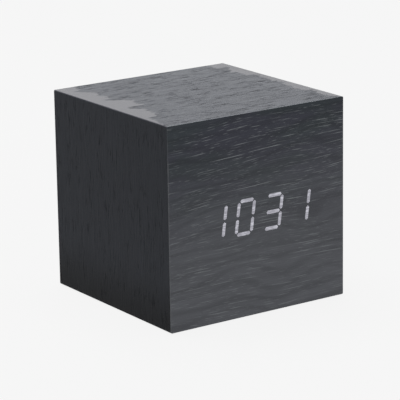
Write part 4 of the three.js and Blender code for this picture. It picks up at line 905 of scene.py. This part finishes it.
BOARD_MASK = BoardMask("green_board", (0.02, 0.105, 0.05), 0.34)
PLATED_STEEL = PlatedMetal("plated_steel", (0.6, 0.6, 0.59), 0.26, 1.0)
BLACK_SCREW = PlatedMetal(
    "blackened_steel", (0.045, 0.046, 0.05), 0.36, 1.0, line=(0.15, 5.0, 0.15))
SOCKET_BRASS = PlatedMetal("plated_brass", (0.62, 0.48, 0.24), 0.28, 1.0, line=(0.15, 5.0, 0.15))
CELL_NUB_RIGHT = CellJacket("cell_jacket_right", (0.017, 0.042, 0.04), 0.34)
CELL_NUB_LEFT = CellJacket("cell_jacket_left", (0.017, 0.042, 0.04), 0.34, nub_end=-24.15)
CHIP_BODY = ChipBody("chip_body", (0.014, 0.014, 0.015), 0.6)
CAPACITOR_SLEEVE = SleevedCan("shrunk_can_sleeve", (0.012, 0.016, 0.03), 0.35)
MICROPHONE_CAN = FeltedCan("microphone_can", (0.6, 0.6, 0.59), 0.3)
RIBBON_JACKET = RibbonJacket("flat_cable_jacket", (0.07, 0.073, 0.077), 0.5)
BLACK_LEAD = LeadJacket("black_lead_jacket", (0.014, 0.014, 0.015), 0.45)
RED_LEAD = LeadJacket("red_lead_jacket", (0.38, 0.022, 0.018), 0.42)


def clear_selection() -> None:
    """Goes back to object mode with nothing selected."""
    if bpy.context.object and bpy.context.object.mode != "OBJECT":
        bpy.ops.object.mode_set(mode="OBJECT")
    bpy.ops.object.select_all(action="DESELECT")


def pick_up(piece: Piece) -> None:
    """Selects one piece alone and makes it the active one.

    Args:
        piece: The piece.
    """
    clear_selection()
    piece.select_set(True)
    bpy.context.view_layer.objects.active = piece


def edit_all(piece: Piece) -> None:
    """Goes into edit mode on one piece, with all of its mesh selected.

    Args:
        piece: The piece.
    """
    pick_up(piece)
    bpy.ops.object.mode_set(mode="EDIT")
    bpy.ops.mesh.select_all(action="SELECT")


def set_down(piece: Piece) -> None:
    """Puts a piece's place and turn into its mesh, so that its object sits at the origin."""
    pick_up(piece)
    bpy.ops.object.transform_apply(location=True, rotation=True, scale=True)


def modified(piece: Piece, kind: str, **options: object) -> None:
    """Adds a modifier to a piece and applies it.

    Args:
        piece: The piece.
        kind: The modifier's type.
        options: Its settings.
    """
    modifier = piece.modifiers.new(kind.lower(), kind)
    for option, choice in options.items():
        setattr(modifier, option, choice)
    pick_up(piece)
    bpy.ops.object.modifier_apply(modifier=modifier.name)


def eased(
    piece: Piece, width: float = 0.0, segments: int = 2, angle: float = SMOOTH_ANGLE
) -> Piece:
    """Rounds a piece's sharp edges and smooths its shading.

    Args:
        piece: The piece.
        width: How wide the rounding is, in millimetres.
        segments: How many faces it has.
        angle: The sharpest bend, in degrees, that counts as smooth.

    Returns:
        The same piece.
    """
    bend = math.radians(angle)
    if width > 0:
        modified(
            piece, "BEVEL", width=width * MM, segments=segments, limit_method="ANGLE",
            angle_limit=bend)
    pick_up(piece)
    bpy.ops.object.shade_smooth_by_angle(angle=bend)
    modified(piece, "WEIGHTED_NORMAL", keep_sharp=True)
    return piece


def refined(node: str, suffix: str) -> Piece:
    """Copies a CAD node's mesh into a new piece with whole faces in place of loose triangles.

    Args:
        node: The CAD node.
        suffix: What the new piece's name adds to the node's.

    Returns:
        The new piece.
    """
    piece = bpy.data.objects.new(f"{node}_{suffix}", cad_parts[node].data.copy())
    bpy.context.scene.collection.objects.link(piece)
    pick_up(piece)
    bpy.ops.mesh.customdata_custom_splitnormals_clear()
    edit_all(piece)
    bpy.ops.mesh.remove_doubles(threshold=MERGED)
    bpy.ops.mesh.dissolve_limited(angle_limit=math.radians(FLAT_ANGLE))
    clear_selection()
    return piece


def rounded(node: str, suffix: str, levels: int = 1, lost: float = 0.04) -> Piece:
    """Copies a swept CAD node and makes its sides round, without making it thinner.

    Args:
        node: The CAD node, whose box the piece fills again.
        suffix: What the new piece's name adds to the node's.
        levels: How often each face is divided in four.
        lost: How much thinner the division makes it all round, in millimetres.

    Returns:
        The new piece.
    """
    piece = refined(node, suffix)
    modified(piece, "SUBSURF", levels=levels, render_levels=levels)
    edit_all(piece)
    bpy.ops.transform.shrink_fatten(value=lost * MM)
    pick_up(piece)
    bpy.ops.object.shade_smooth()
    low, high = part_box(node)
    sides = zip(*(vertex.co for vertex in piece.data.vertices))
    ends = [(min(side), max(side)) for side in sides]
    piece.scale = [(high[i] - low[i]) / (last - first) for i, (first, last) in enumerate(ends)]
    piece.location = [low[i] - first * piece.scale[i] for i, (first, _) in enumerate(ends)]
    set_down(piece)
    return piece


def turned(name: str, outline: Outline, foot: Vector, axis: Axis, sides: int) -> Piece:
    """Turns a solid piece as on a lathe, ring by ring.

    Args:
        name: The piece's name.
        outline: The radius and height of each ring, in millimetres, from the foot up.
        foot: Where the piece's axis starts.
        axis: Where its axis points.
        sides: How many sides it has.

    Returns:
        The piece, with its place in its mesh.
    """
    clear_selection()
    radius, height = outline[0]
    bpy.ops.mesh.primitive_circle_add(vertices=sides, radius=radius * MM, fill_type="NGON")
    piece = bpy.context.object
    piece.name = piece.data.name = name
    edit_all(piece)
    bpy.ops.transform.translate(value=(0.0, 0.0, height * MM))
    for next_radius, next_height in outline[1:]:
        rise = (0.0, 0.0, (next_height - height) * MM)
        bpy.ops.mesh.extrude_region_move(TRANSFORM_OT_translate={"value": rise})
        share = next_radius / radius
        bpy.ops.transform.resize(
            value=(share, share, 1.0), center_override=(0.0, 0.0, next_height * MM))
        radius, height = next_radius, next_height
    clear_selection()
    piece.rotation_euler = axis.value
    piece.location = foot
    set_down(piece)
    edit_all(piece)
    bpy.ops.mesh.remove_doubles(threshold=MERGED)
    bpy.ops.mesh.normals_make_consistent(inside=False)
    clear_selection()
    return piece


def rim(radius: float, height: float, steps: Outline) -> list[tuple[float, float]]:
    """The rings of a rim, from how far inwards and down from its edge each of them is."""
    return [(radius - inward, height - down) for inward, down in steps]


def block(name: str, low: Vector, high: Vector) -> Piece:
    """A rectangular block between two corners, as the start of a piece or as a cutting tool.

    Args:
        name: Its name.
        low: Its lowest corner.
        high: Its highest corner.

    Returns:
        The block.
    """
    clear_selection()
    bpy.ops.mesh.primitive_cube_add(size=1.0, location=(low + high) / 2)
    piece = bpy.context.object
    piece.name = piece.data.name = name
    piece.scale = high - low
    set_down(piece)
    return piece


def combined(piece: Piece, tool: Piece, operation: str) -> None:
    """Cuts a tool out of a piece (DIFFERENCE) or joins it on (UNION). The tool is used up."""
    modified(piece, "BOOLEAN", operation=operation, solver="EXACT", object=tool)
    bpy.data.objects.remove(tool)


def middle(node: str) -> Vector:
    """The middle of a CAD node's box."""
    low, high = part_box(node)
    return (low + high) / 2


def front_middle(node: str) -> Vector:
    """The middle of the front of a CAD node's box, where an axis that points backwards starts."""
    centre = middle(node)
    return Vector((centre.x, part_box(node)[0].y, centre.z))


def dress(finish: Finish, *nodes: str) -> None:
    """Gives CAD nodes that stay as they are a finish.

    Args:
        finish: The finish.
        nodes: The nodes.
    """
    for node in nodes:
        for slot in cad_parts[node].material_slots:
            slot.material = finish.material()
        LOG.info("%s: kept, in %s", node, finish.name)


def install(
    piece: Piece, finish: Finish, node: str, body: Body = Body.CASE
) -> None:
    """Finishes a piece and puts it in the place of a CAD node.

    Args:
        piece: The piece.
        finish: Its finish.
        node: The CAD node that it stands for.
        body: The body that it moves with.
    """
    piece.data.materials.clear()
    piece.data.materials.append(finish.material())
    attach(piece, body.value)
    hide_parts(node)
    faces = len(piece.data.polygons)
    LOG.info("%s: %d faces, on %s, in %s", piece.name, faces, body.value, finish.name)


def remake(
    node: str, suffix: str, finish: Finish, width: float = 0.0, segments: int = 2,
    angle: float = SMOOTH_ANGLE, body: Body = Body.CASE,
) -> Piece:
    """Puts a finished copy of a CAD node, with eased edges, in the node's place.

    Args:
        node: The CAD node.
        suffix: What the new piece's name adds to the node's.
        finish: The piece's finish.
        width: How wide the rounding of its edges is, in millimetres.
        segments: How many faces the rounding has.
        angle: The sharpest bend, in degrees, that counts as smooth.
        body: The body that it moves with.

    Returns:
        The new piece.
    """
    piece = eased(refined(node, suffix), width, segments, angle)
    install(piece, finish, node, body)
    return piece


def turn(
    node: str, suffix: str, outline: Outline, finish: Finish,
    body: Body = Body.CASE, foot: Optional[Vector] = None, axis: Axis = Axis.BACKWARD,
    sides: int = ROUND_SIDES,
) -> None:
    """Puts a finished piece turned as on a lathe in a CAD node's place.

    Args:
        node: The CAD node.
        suffix: What the new piece's name adds to the node's.
        outline: The radius and height of each ring, in millimetres, from the foot up.
        finish: The piece's finish.
        body: The body that it moves with.
        foot: Where its axis starts, if not in the middle of the node's front.
        axis: Where its axis points.
        sides: How many sides it has.
    """
    start = front_middle(node) if foot is None else foot
    piece = turned(f"{node}_{suffix}", outline, start, axis, sides)
    install(eased(piece), finish, node, body)


@dataclass(frozen=True)
class FilmSkin:
    """The two films: one folded round the cube, one over its front. Sizes are in millimetres."""

    half_width: float = 41.0
    low: float = 0.5
    high: float = 80.5

    def build(self) -> None:
        """Makes both films."""
        remake("front_film", "sheet", FRONT_FILM)
        self._unroll(remake("wrap_film", "sheet", WRAP_FILM))

    def _unroll(self, wrap: Piece) -> None:
        """Gives the folded film a map of itself laid flat, in millimetres.

        Args:
            wrap: The film.
        """
        layer = wrap.data.uv_layers.new(name=WRAP_FILM.seam)
        for face in wrap.data.polygons:
            centre = face.center / MM
            for corner in face.loop_indices:
                point = wrap.data.vertices[wrap.data.loops[corner].vertex_index].co / MM
                layer.data[corner].uv = (self._along(centre, point), point.y)

    def _along(self, centre: Vector, point: Vector) -> float:
        """How far round the cube a point is.

        Args:
            centre: The middle of the point's face, which tells the side of the cube.
            point: The point.

        Returns:
            The way from the middle of the top, to the left below 0.
        """
        half_height = (self.high - self.low) / 2
        rise = centre.z - self.low - half_height
        if abs(centre.x) - self.half_width > abs(rise) - half_height:
            return math.copysign(self.half_width + self.high - point.z, centre.x)
        half_round = 2 * (self.half_width + half_height)
        return point.x if rise > 0 else half_round + self.half_width + point.x


@dataclass(frozen=True)
class FoldedBox:
    """The boards inside the films, two battens and four foot pads. Sizes are in millimetres."""

    batten_edge: float = 0.3
    pad_radius: float = 4.0
    pad_height: float = 0.9
    pad_rim: Outline = ((0.35, 0.0), (0.12, -0.05), (0.0, -0.2))

    def build(self) -> None:
        """Dresses the boards, and makes the battens and the pads."""
        dress(FIBREBOARD, "bottom_board", "top_board", "left_board", "right_board", "front_board")
        for node in ("left_batten", "right_batten"):
            remake(node, "strip", SOFTWOOD, self.batten_edge)
        outline = rim(self.pad_radius, 0.0, self.pad_rim) + [(self.pad_radius, self.pad_height)]
        for number in range(1, 5):
            node = f"foot_pad_{number}"
            centre = middle(node)
            foot = Vector((centre.x, centre.y, 0.0))
            turn(node, "dot", outline, PAD_FOAM, foot=foot, axis=Axis.UP)


@dataclass(frozen=True)
class Screw:
    """A screw with a domed head and a cross in it. Sizes are in millimetres, heights from the tip.

    The head's rings are shares of its radius and height.
    """

    length: float
    shank_radius: float
    head_radius: float
    head_height: float
    pitch: float
    cross_width: float = 0.7
    cross_depth: float = 0.75
    cross_share: float = 0.6
    tip_radius: float = 0.06
    tip_share: float = 1.4
    root_share: float = 0.76
    neck: float = 0.6
    sides: int = 36
    round_angle: float = 40.0
    head: Outline = (
        (1.0, 0.0), (1.0, 0.28), (0.95, 0.5), (0.84, 0.7), (0.68, 0.85), (0.45, 0.95), (0.2, 1.0))

    def build(self, node: str) -> None:
        """Turns the screw and cuts its cross.

        Args:
            node: The CAD node that it stands for.
        """
        foot = front_middle(node)
        screw = turned(f"{node}_turned", self._outline(), foot, Axis.BACKWARD, self.sides)
        reach = self.head_radius * self.cross_share * MM
        thick = self.cross_width * MM / 2
        top = (self.length + self.head_height) * MM
        sunk = top - self.cross_depth * MM
        for half_x, half_z in ((reach, thick), (thick, reach)):
            low = foot + Vector((-half_x, sunk, -half_z))
            high = foot + Vector((half_x, top + MM, half_z))
            combined(screw, block("cross", low, high), "DIFFERENCE")
        install(eased(screw, angle=self.round_angle), BLACK_SCREW, node)

    def _outline(self) -> list[tuple[float, float]]:
        """The tip, the threads, a plain neck and the domed head.

        Returns:
            The radius and height of each ring.
        """
        root = self.root_share * self.shank_radius
        height = self.tip_share * self.shank_radius
        outline = [(self.tip_radius, 0.0), (root, height)]
        while height + self.pitch < self.length - self.pitch:
            outline += [(self.shank_radius, height + self.pitch / 2), (root, height + self.pitch)]
            height += self.pitch
        outline += [(self.shank_radius, self.length - self.neck), (self.shank_radius, self.length)]
        return outline + [
            (share * self.head_radius, self.length + rise * self.head_height)
            for share, rise in self.head
        ]


@dataclass(frozen=True)
class LightDisplay:
    """The lit numbers and the board behind them. Sizes are in millimetres."""

    edge: float = 0.05
    board_screw: Screw = Screw(6.0, 1.0, 2.2, 1.4, 0.7, cross_width=0.6)

    def build(self) -> None:
        """Dresses the light guides, and makes the board's chip, crystal and screws."""
        places = ("hour_tens", "hour_units", "minute_tens", "minute_units")
        dress(LIT_GUIDE, *(f"{place}_light" for place in places))
        dress(UNLIT_LENS, "colon_lens")
        dress(INNER_PLASTIC, "display_reflector")
        dress(BOARD_MASK, "display_board")
        remake("clock_chip", "body", CHIP_BODY)
        remake("quartz_crystal", "can", PLATED_STEEL, self.edge, 1)
        for number in range(1, 3):
            self.board_screw.build(f"display_screw_{number}")


@dataclass(frozen=True)
class RearCover:
    """The moulded rear cover, with the battery compartment, and its screws. In millimetres."""

    edge: float = 0.12
    round_angle: float = 18.0
    sound_hole_radius: float = 0.82
    sound_hole_sides: int = 32
    wall: float = 2.0
    screw: Screw = Screw(9.0, 1.3, 2.6, 1.5, 0.95)

    def build(self) -> None:
        """Makes the cover, with its sound hole drilled round, and its four screws."""
        node = "rear_cover"
        cover = refined(node, "moulding")
        _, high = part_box(node)
        capsule = middle("microphone")
        start = Vector((capsule.x, high.y - 1.5 * self.wall * MM, capsule.z))
        hole = ((self.sound_hole_radius, 0.0), (self.sound_hole_radius, 2 * self.wall))
        drill = turned("drill", hole, start, Axis.BACKWARD, self.sound_hole_sides)
        combined(cover, drill, "DIFFERENCE")
        cover = eased(cover, self.edge, 1, self.round_angle)
        install(cover, COVER_PLASTIC, node)
        for number in range(1, 5):
            self.screw.build(f"cover_screw_{number}")


@dataclass(frozen=True)
class BatteryDoor:
    """The battery door and its springy latch tongue. Sizes are in millimetres."""

    edge: float = 0.12

    def build(self) -> None:
        """Makes the door and its latch."""
        for node in ("battery_door", "door_latch"):
            remake(
                node, "moulding", COVER_PLASTIC, self.edge, 1, body=Body.DOOR)


@dataclass(frozen=True)
class PushButton:
    """One button: its cap, the plunger that it presses and the switch.

    Sizes are in millimetres, and heights are from the stem's end.
    """

    name: str
    body: Body
    stem_radius: float = 1.6
    stem_length: float = 3.5
    stem_bevel: float = 0.2
    flange_radius: float = 4.2
    flange_thickness: float = 1.0
    flange_bevel: float = 0.1
    cap_radius: float = 3.2
    length: float = 7.9
    rim: Outline = (
        (0.0, 0.55), (0.05, 0.36), (0.16, 0.18), (0.34, 0.06), (0.6, 0.0), (0.85, 0.02))
    hollow: Outline = ((1.3, 0.1), (1.9, 0.19), (2.5, 0.24), (3.0, 0.26))
    plunger_edge: float = 0.15
    switch_edge: float = 0.1

    def build(self) -> None:
        """Makes the three pieces."""
        cap, plunger, switch = (f"{self.name}_{what}" for what in ("button", "plunger", "switch"))
        turn(cap, "cap", self._outline(), BUTTON_PLASTIC, self.body)
        remake(
            plunger, "pin", PLUNGER_PLASTIC, self.plunger_edge, body=self.body)
        remake(switch, "can", PLATED_STEEL, self.switch_edge, 1)

    def _outline(self) -> list[tuple[float, float]]:
        """The stem, the flange, the cap's softly rounded rim and a shallow hollow for the finger.

        Returns:
            The radius and height of each ring.
        """
        stem, flange, bevel = self.stem_radius, self.flange_radius, self.flange_bevel
        flange_top = self.stem_length + self.flange_thickness
        outline = [
            (stem - self.stem_bevel, 0.0), (stem, self.stem_bevel), (stem, self.stem_length),
            (flange - bevel, self.stem_length), (flange, self.stem_length + bevel),
            (flange, flange_top - bevel), (flange - bevel, flange_top),
            (self.cap_radius, flange_top),
        ]
        return outline + rim(self.cap_radius, self.length, (*self.rim, *self.hollow))


@dataclass(frozen=True)
class ControlBoard:
    """The board behind the buttons, with what is soldered to it. Sizes are in millimetres."""

    socket_body_end: float = 35.7
    socket_edge: float = 0.3
    nose_radius: float = 3.2
    nose_root: float = 0.6
    nose_rim: Outline = ((0.0, 0.25), (0.08, 0.08), (0.25, 0.0))
    bore_radius: float = 1.9
    bore_start: float = 28.7
    bore_rim: Outline = ((0.0, 0.35), (-0.4, -0.05), (-0.4, -1.0))
    pin: Outline = ((0.55, 0.0), (0.65, 0.1), (0.65, 8.55), (0.6, 8.75), (0.48, 8.9), (0.25, 9.0))
    buzzer: Outline = (
        (4.35, 0.0), (4.5, 0.15), (4.5, 5.1), (4.42, 5.3), (4.25, 5.4), (3.5, 5.4), (3.4, 5.25),
        (2.6, 5.25), (2.5, 5.4), (1.25, 5.4), (1.1, 5.25), (1.1, 4.2), (0.3, 4.2))
    capsule: Outline = (
        (2.85, 0.0), (3.0, 0.15), (3.0, 2.5), (2.94, 2.64), (2.8, 2.7), (2.65, 2.7), (2.6, 2.62),
        (2.6, 2.4), (0.4, 2.4))
    can: Outline = (
        (2.35, 0.0), (2.5, 0.15), (2.5, 0.7), (2.38, 0.86), (2.3, 1.0), (2.38, 1.16), (2.5, 1.34),
        (2.5, 6.72), (2.43, 6.9), (2.3, 7.0), (2.15, 6.98), (2.05, 6.86), (0.4, 6.86))

    def build(self) -> None:
        """Dresses the board, and makes the socket, buzzer, microphone and capacitor."""
        dress(BOARD_MASK, "button_board")
        self._socket()
        turn("socket_pin", "post", self.pin, SOCKET_BRASS)
        turn("buzzer", "drum", self.buzzer, INNER_PLASTIC)
        turn("microphone", "capsule", self.capsule, MICROPHONE_CAN)
        turn("smoothing_capacitor", "can", self.can, CAPACITOR_SLEEVE)

    def _socket(self) -> None:
        """Makes the socket's body, rounds its edges, then adds the nose and bores it."""
        node = "power_socket"
        low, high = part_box(node)
        centre = middle(node)
        end = self.socket_body_end
        body = block(f"{node}_body", low, Vector((high.x, end * MM, high.z)))
        socket = eased(body, self.socket_edge)
        nose = [(self.nose_radius, -self.nose_root)]
        nose += rim(self.nose_radius, high.y / MM - end, self.nose_rim)
        bore = [(self.bore_radius, 0.0)]
        bore += rim(self.bore_radius, high.y / MM - self.bore_start, self.bore_rim)
        for name, outline, start, operation in (
            ("nose", nose, end, "UNION"), ("bore", bore, self.bore_start, "DIFFERENCE"),
        ):
            foot = Vector((centre.x, start * MM, centre.z))
            combined(socket, turned(name, outline, foot, Axis.BACKWARD, ROUND_SIDES), operation)
        install(eased(socket), INNER_PLASTIC, node)


@dataclass(frozen=True)
class Wiring:
    """The ribbon between the boards and the two battery leads."""

    ribbon_angle: float = 50.0

    def build(self) -> None:
        """Dresses the ribbon, and makes the leads round."""
        remake("ribbon_cable", "strip", RIBBON_JACKET, angle=self.ribbon_angle)
        for node, finish, slot in (
            ("negative_lead", BLACK_LEAD, "black_lead"), ("positive_lead", RED_LEAD, "red_lead"),
        ):
            install(rounded(node, "wire"), finish, node)


@dataclass(frozen=True)
class CellPack:
    """Three dry cells side by side, with their contact plates and springs.

    Sizes are in millimetres, and a cell's outline runs from its flat end to its nub.
    """

    outline: Outline = (
        (3.3, 0.2), (3.6, 0.16), (3.75, 0.0), (4.55, 0.0), (4.85, 0.1), (5.0, 0.3), (5.05, 0.46),
        (5.2, 0.5), (5.25, 0.6), (5.25, 42.75), (5.2, 42.95), (5.0, 43.15), (4.7, 43.22),
        (4.45, 43.15), (4.3, 43.3), (4.1, 43.45), (2.2, 43.5), (1.98, 43.58), (1.9, 43.75),
        (1.9, 44.2), (1.84, 44.38), (1.68, 44.5), (0.3, 44.5))
    cell_sides: int = 64
    plate_edge: float = 0.1
    spring_levels: int = 2
    spring_lost: float = 0.022

    def build(self) -> None:
        """Makes the cells, the plates and the springs."""
        for number, finish in enumerate((CELL_NUB_RIGHT, CELL_NUB_LEFT, CELL_NUB_RIGHT), 1):
            self._cell(f"battery_cell_{number}", finish)
            node = f"contact_spring_{number}"
            spring = rounded(node, "wire", self.spring_levels, self.spring_lost)
            install(spring, PLATED_STEEL, node)
        for place in ("negative", "lower_bridge", "upper_bridge", "positive"):
            remake(
                f"{place}_contact", "plate", PLATED_STEEL, self.plate_edge, 1)

    def _cell(self, node: str, finish: CellJacket) -> None:
        """Turns one cell.

        Args:
            node: The CAD node that it stands for.
            finish: Its finish, which tells where its nub points.
        """
        low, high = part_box(node)
        foot = middle(node)
        if finish.nub_end > 0:
            foot.x, axis = low.x, Axis.RIGHT
        else:
            foot.x, axis = high.x, Axis.LEFT
        turn(
            node, "jacket", self.outline, finish, foot=foot, axis=axis,
            sides=self.cell_sides)


@dataclass(frozen=True)
class PhotoView:
    """The camera at the photograph's angle. Lengths are in millimetres, clip in metres."""

    azimuth: float = -34.5277
    elevation: float = 15.2456
    roll: float = -0.8994
    distance: float = 914.3767
    target_height: float = 40.5
    right: float = 0.544
    up: float = -3.18
    lens: float = 208.3
    sensor: float = 36.0
    clip: tuple[float, float] = (0.01, 50.0)

    def build(self) -> None:
        """Makes the camera and gives it to the scene."""
        angles = (self.azimuth, self.elevation, self.roll)
        around, lift, roll = (math.radians(angle) for angle in angles)
        back = Vector((
            math.sin(around) * math.cos(lift), -math.cos(around) * math.cos(lift),
            math.sin(lift)))
        level = (-back).cross(Vector((0.0, 0.0, 1.0))).normalized()
        above = level.cross(-back)
        across = math.cos(roll) * level + math.sin(roll) * above
        upright = math.cos(roll) * above - math.sin(roll) * level
        place = Vector((0.0, 0.0, self.target_height)) + back * self.distance
        place += across * self.right + upright * self.up
        camera = bpy.data.objects.new("photo_camera", bpy.data.cameras.new("photo_camera"))
        camera.data.lens, camera.data.sensor_width = self.lens, self.sensor
        camera.data.clip_start, camera.data.clip_end = self.clip
        facing = Matrix((across, upright, back)).transposed().to_4x4()
        camera.matrix_world = Matrix.Translation(place * MM) @ facing
        bpy.context.scene.collection.objects.link(camera)
        bpy.context.scene.camera = camera


@dataclass(frozen=True)
class SoftBox:
    """A square soft light: where it hangs, its size (both in metres) and its power in watts."""

    name: str
    place: Triple
    size: float
    power: float
    aim: Triple = (0.0, 0.0, 0.04)

    def build(self) -> None:
        """Hangs the light and turns it towards the clock."""
        light = bpy.data.lights.new(self.name, "AREA")
        light.shape = "SQUARE"
        light.size = self.size
        light.energy = self.power
        lamp = bpy.data.objects.new(self.name, light)
        lamp.location = self.place
        way = Vector(self.aim) - Vector(self.place)
        lamp.rotation_euler = way.to_track_quat("-Z", "Y").to_euler()
        bpy.context.scene.collection.objects.link(lamp)


@dataclass(frozen=True)
class SoftStudio:
    """The pale floor, the even light from all sides, and the soft boxes."""

    pale: float = 0.922
    floor_glow: float = 0.88
    floor_colour: float = 0.008
    floor_radius: float = 12.0
    floor_sides: int = 96
    boxes: tuple[SoftBox, ...] = (
        SoftBox("overhead_box", (0.0, 0.3, 1.5), 1.2, 120.0),
        SoftBox("back_box", (1.37, 1.99, 0.75), 0.9, 3.35),
        SoftBox("front_box", (0.75, -1.35, 0.75), 1.0, 12.0),
    )

    def build(self) -> None:
        """Sets the light and lays the floor."""
        scene = bpy.context.scene
        scene.view_settings.view_transform = "Standard"
        world = bpy.data.worlds.new("pale_room")
        world.use_nodes = True
        background = world.node_tree.nodes["Background"]
        background.inputs["Color"].default_value = (self.pale,) * 3 + (1.0,)
        scene.world = world
        for box in self.boxes:
            box.build()
        self._floor()

    def _floor(self) -> None:
        """Lays a pale floor that glows a little, so that shadows on it stay faint."""
        clear_selection()
        bpy.ops.mesh.primitive_circle_add(
            vertices=self.floor_sides, radius=self.floor_radius, fill_type="NGON")
        floor = bpy.context.object
        floor.name = "pale_floor"
        paint = bpy.data.materials.new("pale_floor")
        paint.use_nodes = True
        shader = paint.node_tree.nodes["Principled BSDF"]
        for socket, value in (
            ("Base Color", (self.floor_colour,) * 3 + (1.0,)), ("Roughness", 1.0),
            ("Specular IOR Level", 0.0), ("Emission Color", (1.0, 1.0, 1.0, 1.0)),
            ("Emission Strength", self.floor_glow),
        ):
            shader.inputs[socket].default_value = value
        floor.data.materials.append(paint)


def main() -> None:
    """Builds the camera, the studio and the clock, from its skin inwards."""
    logging.basicConfig(level=logging.INFO, format="%(name)s: %(message)s")
    for part in (
        PhotoView(), SoftStudio(), FilmSkin(), FoldedBox(), LightDisplay(), RearCover(),
        BatteryDoor(), PushButton("set", Body.SET), PushButton("up", Body.UP),
        PushButton("down", Body.DOWN), ControlBoard(), Wiring(), CellPack(),
    ):
        LOG.info("building %s", type(part).__name__)
        part.build()


if __name__ == "__main__":
    main()
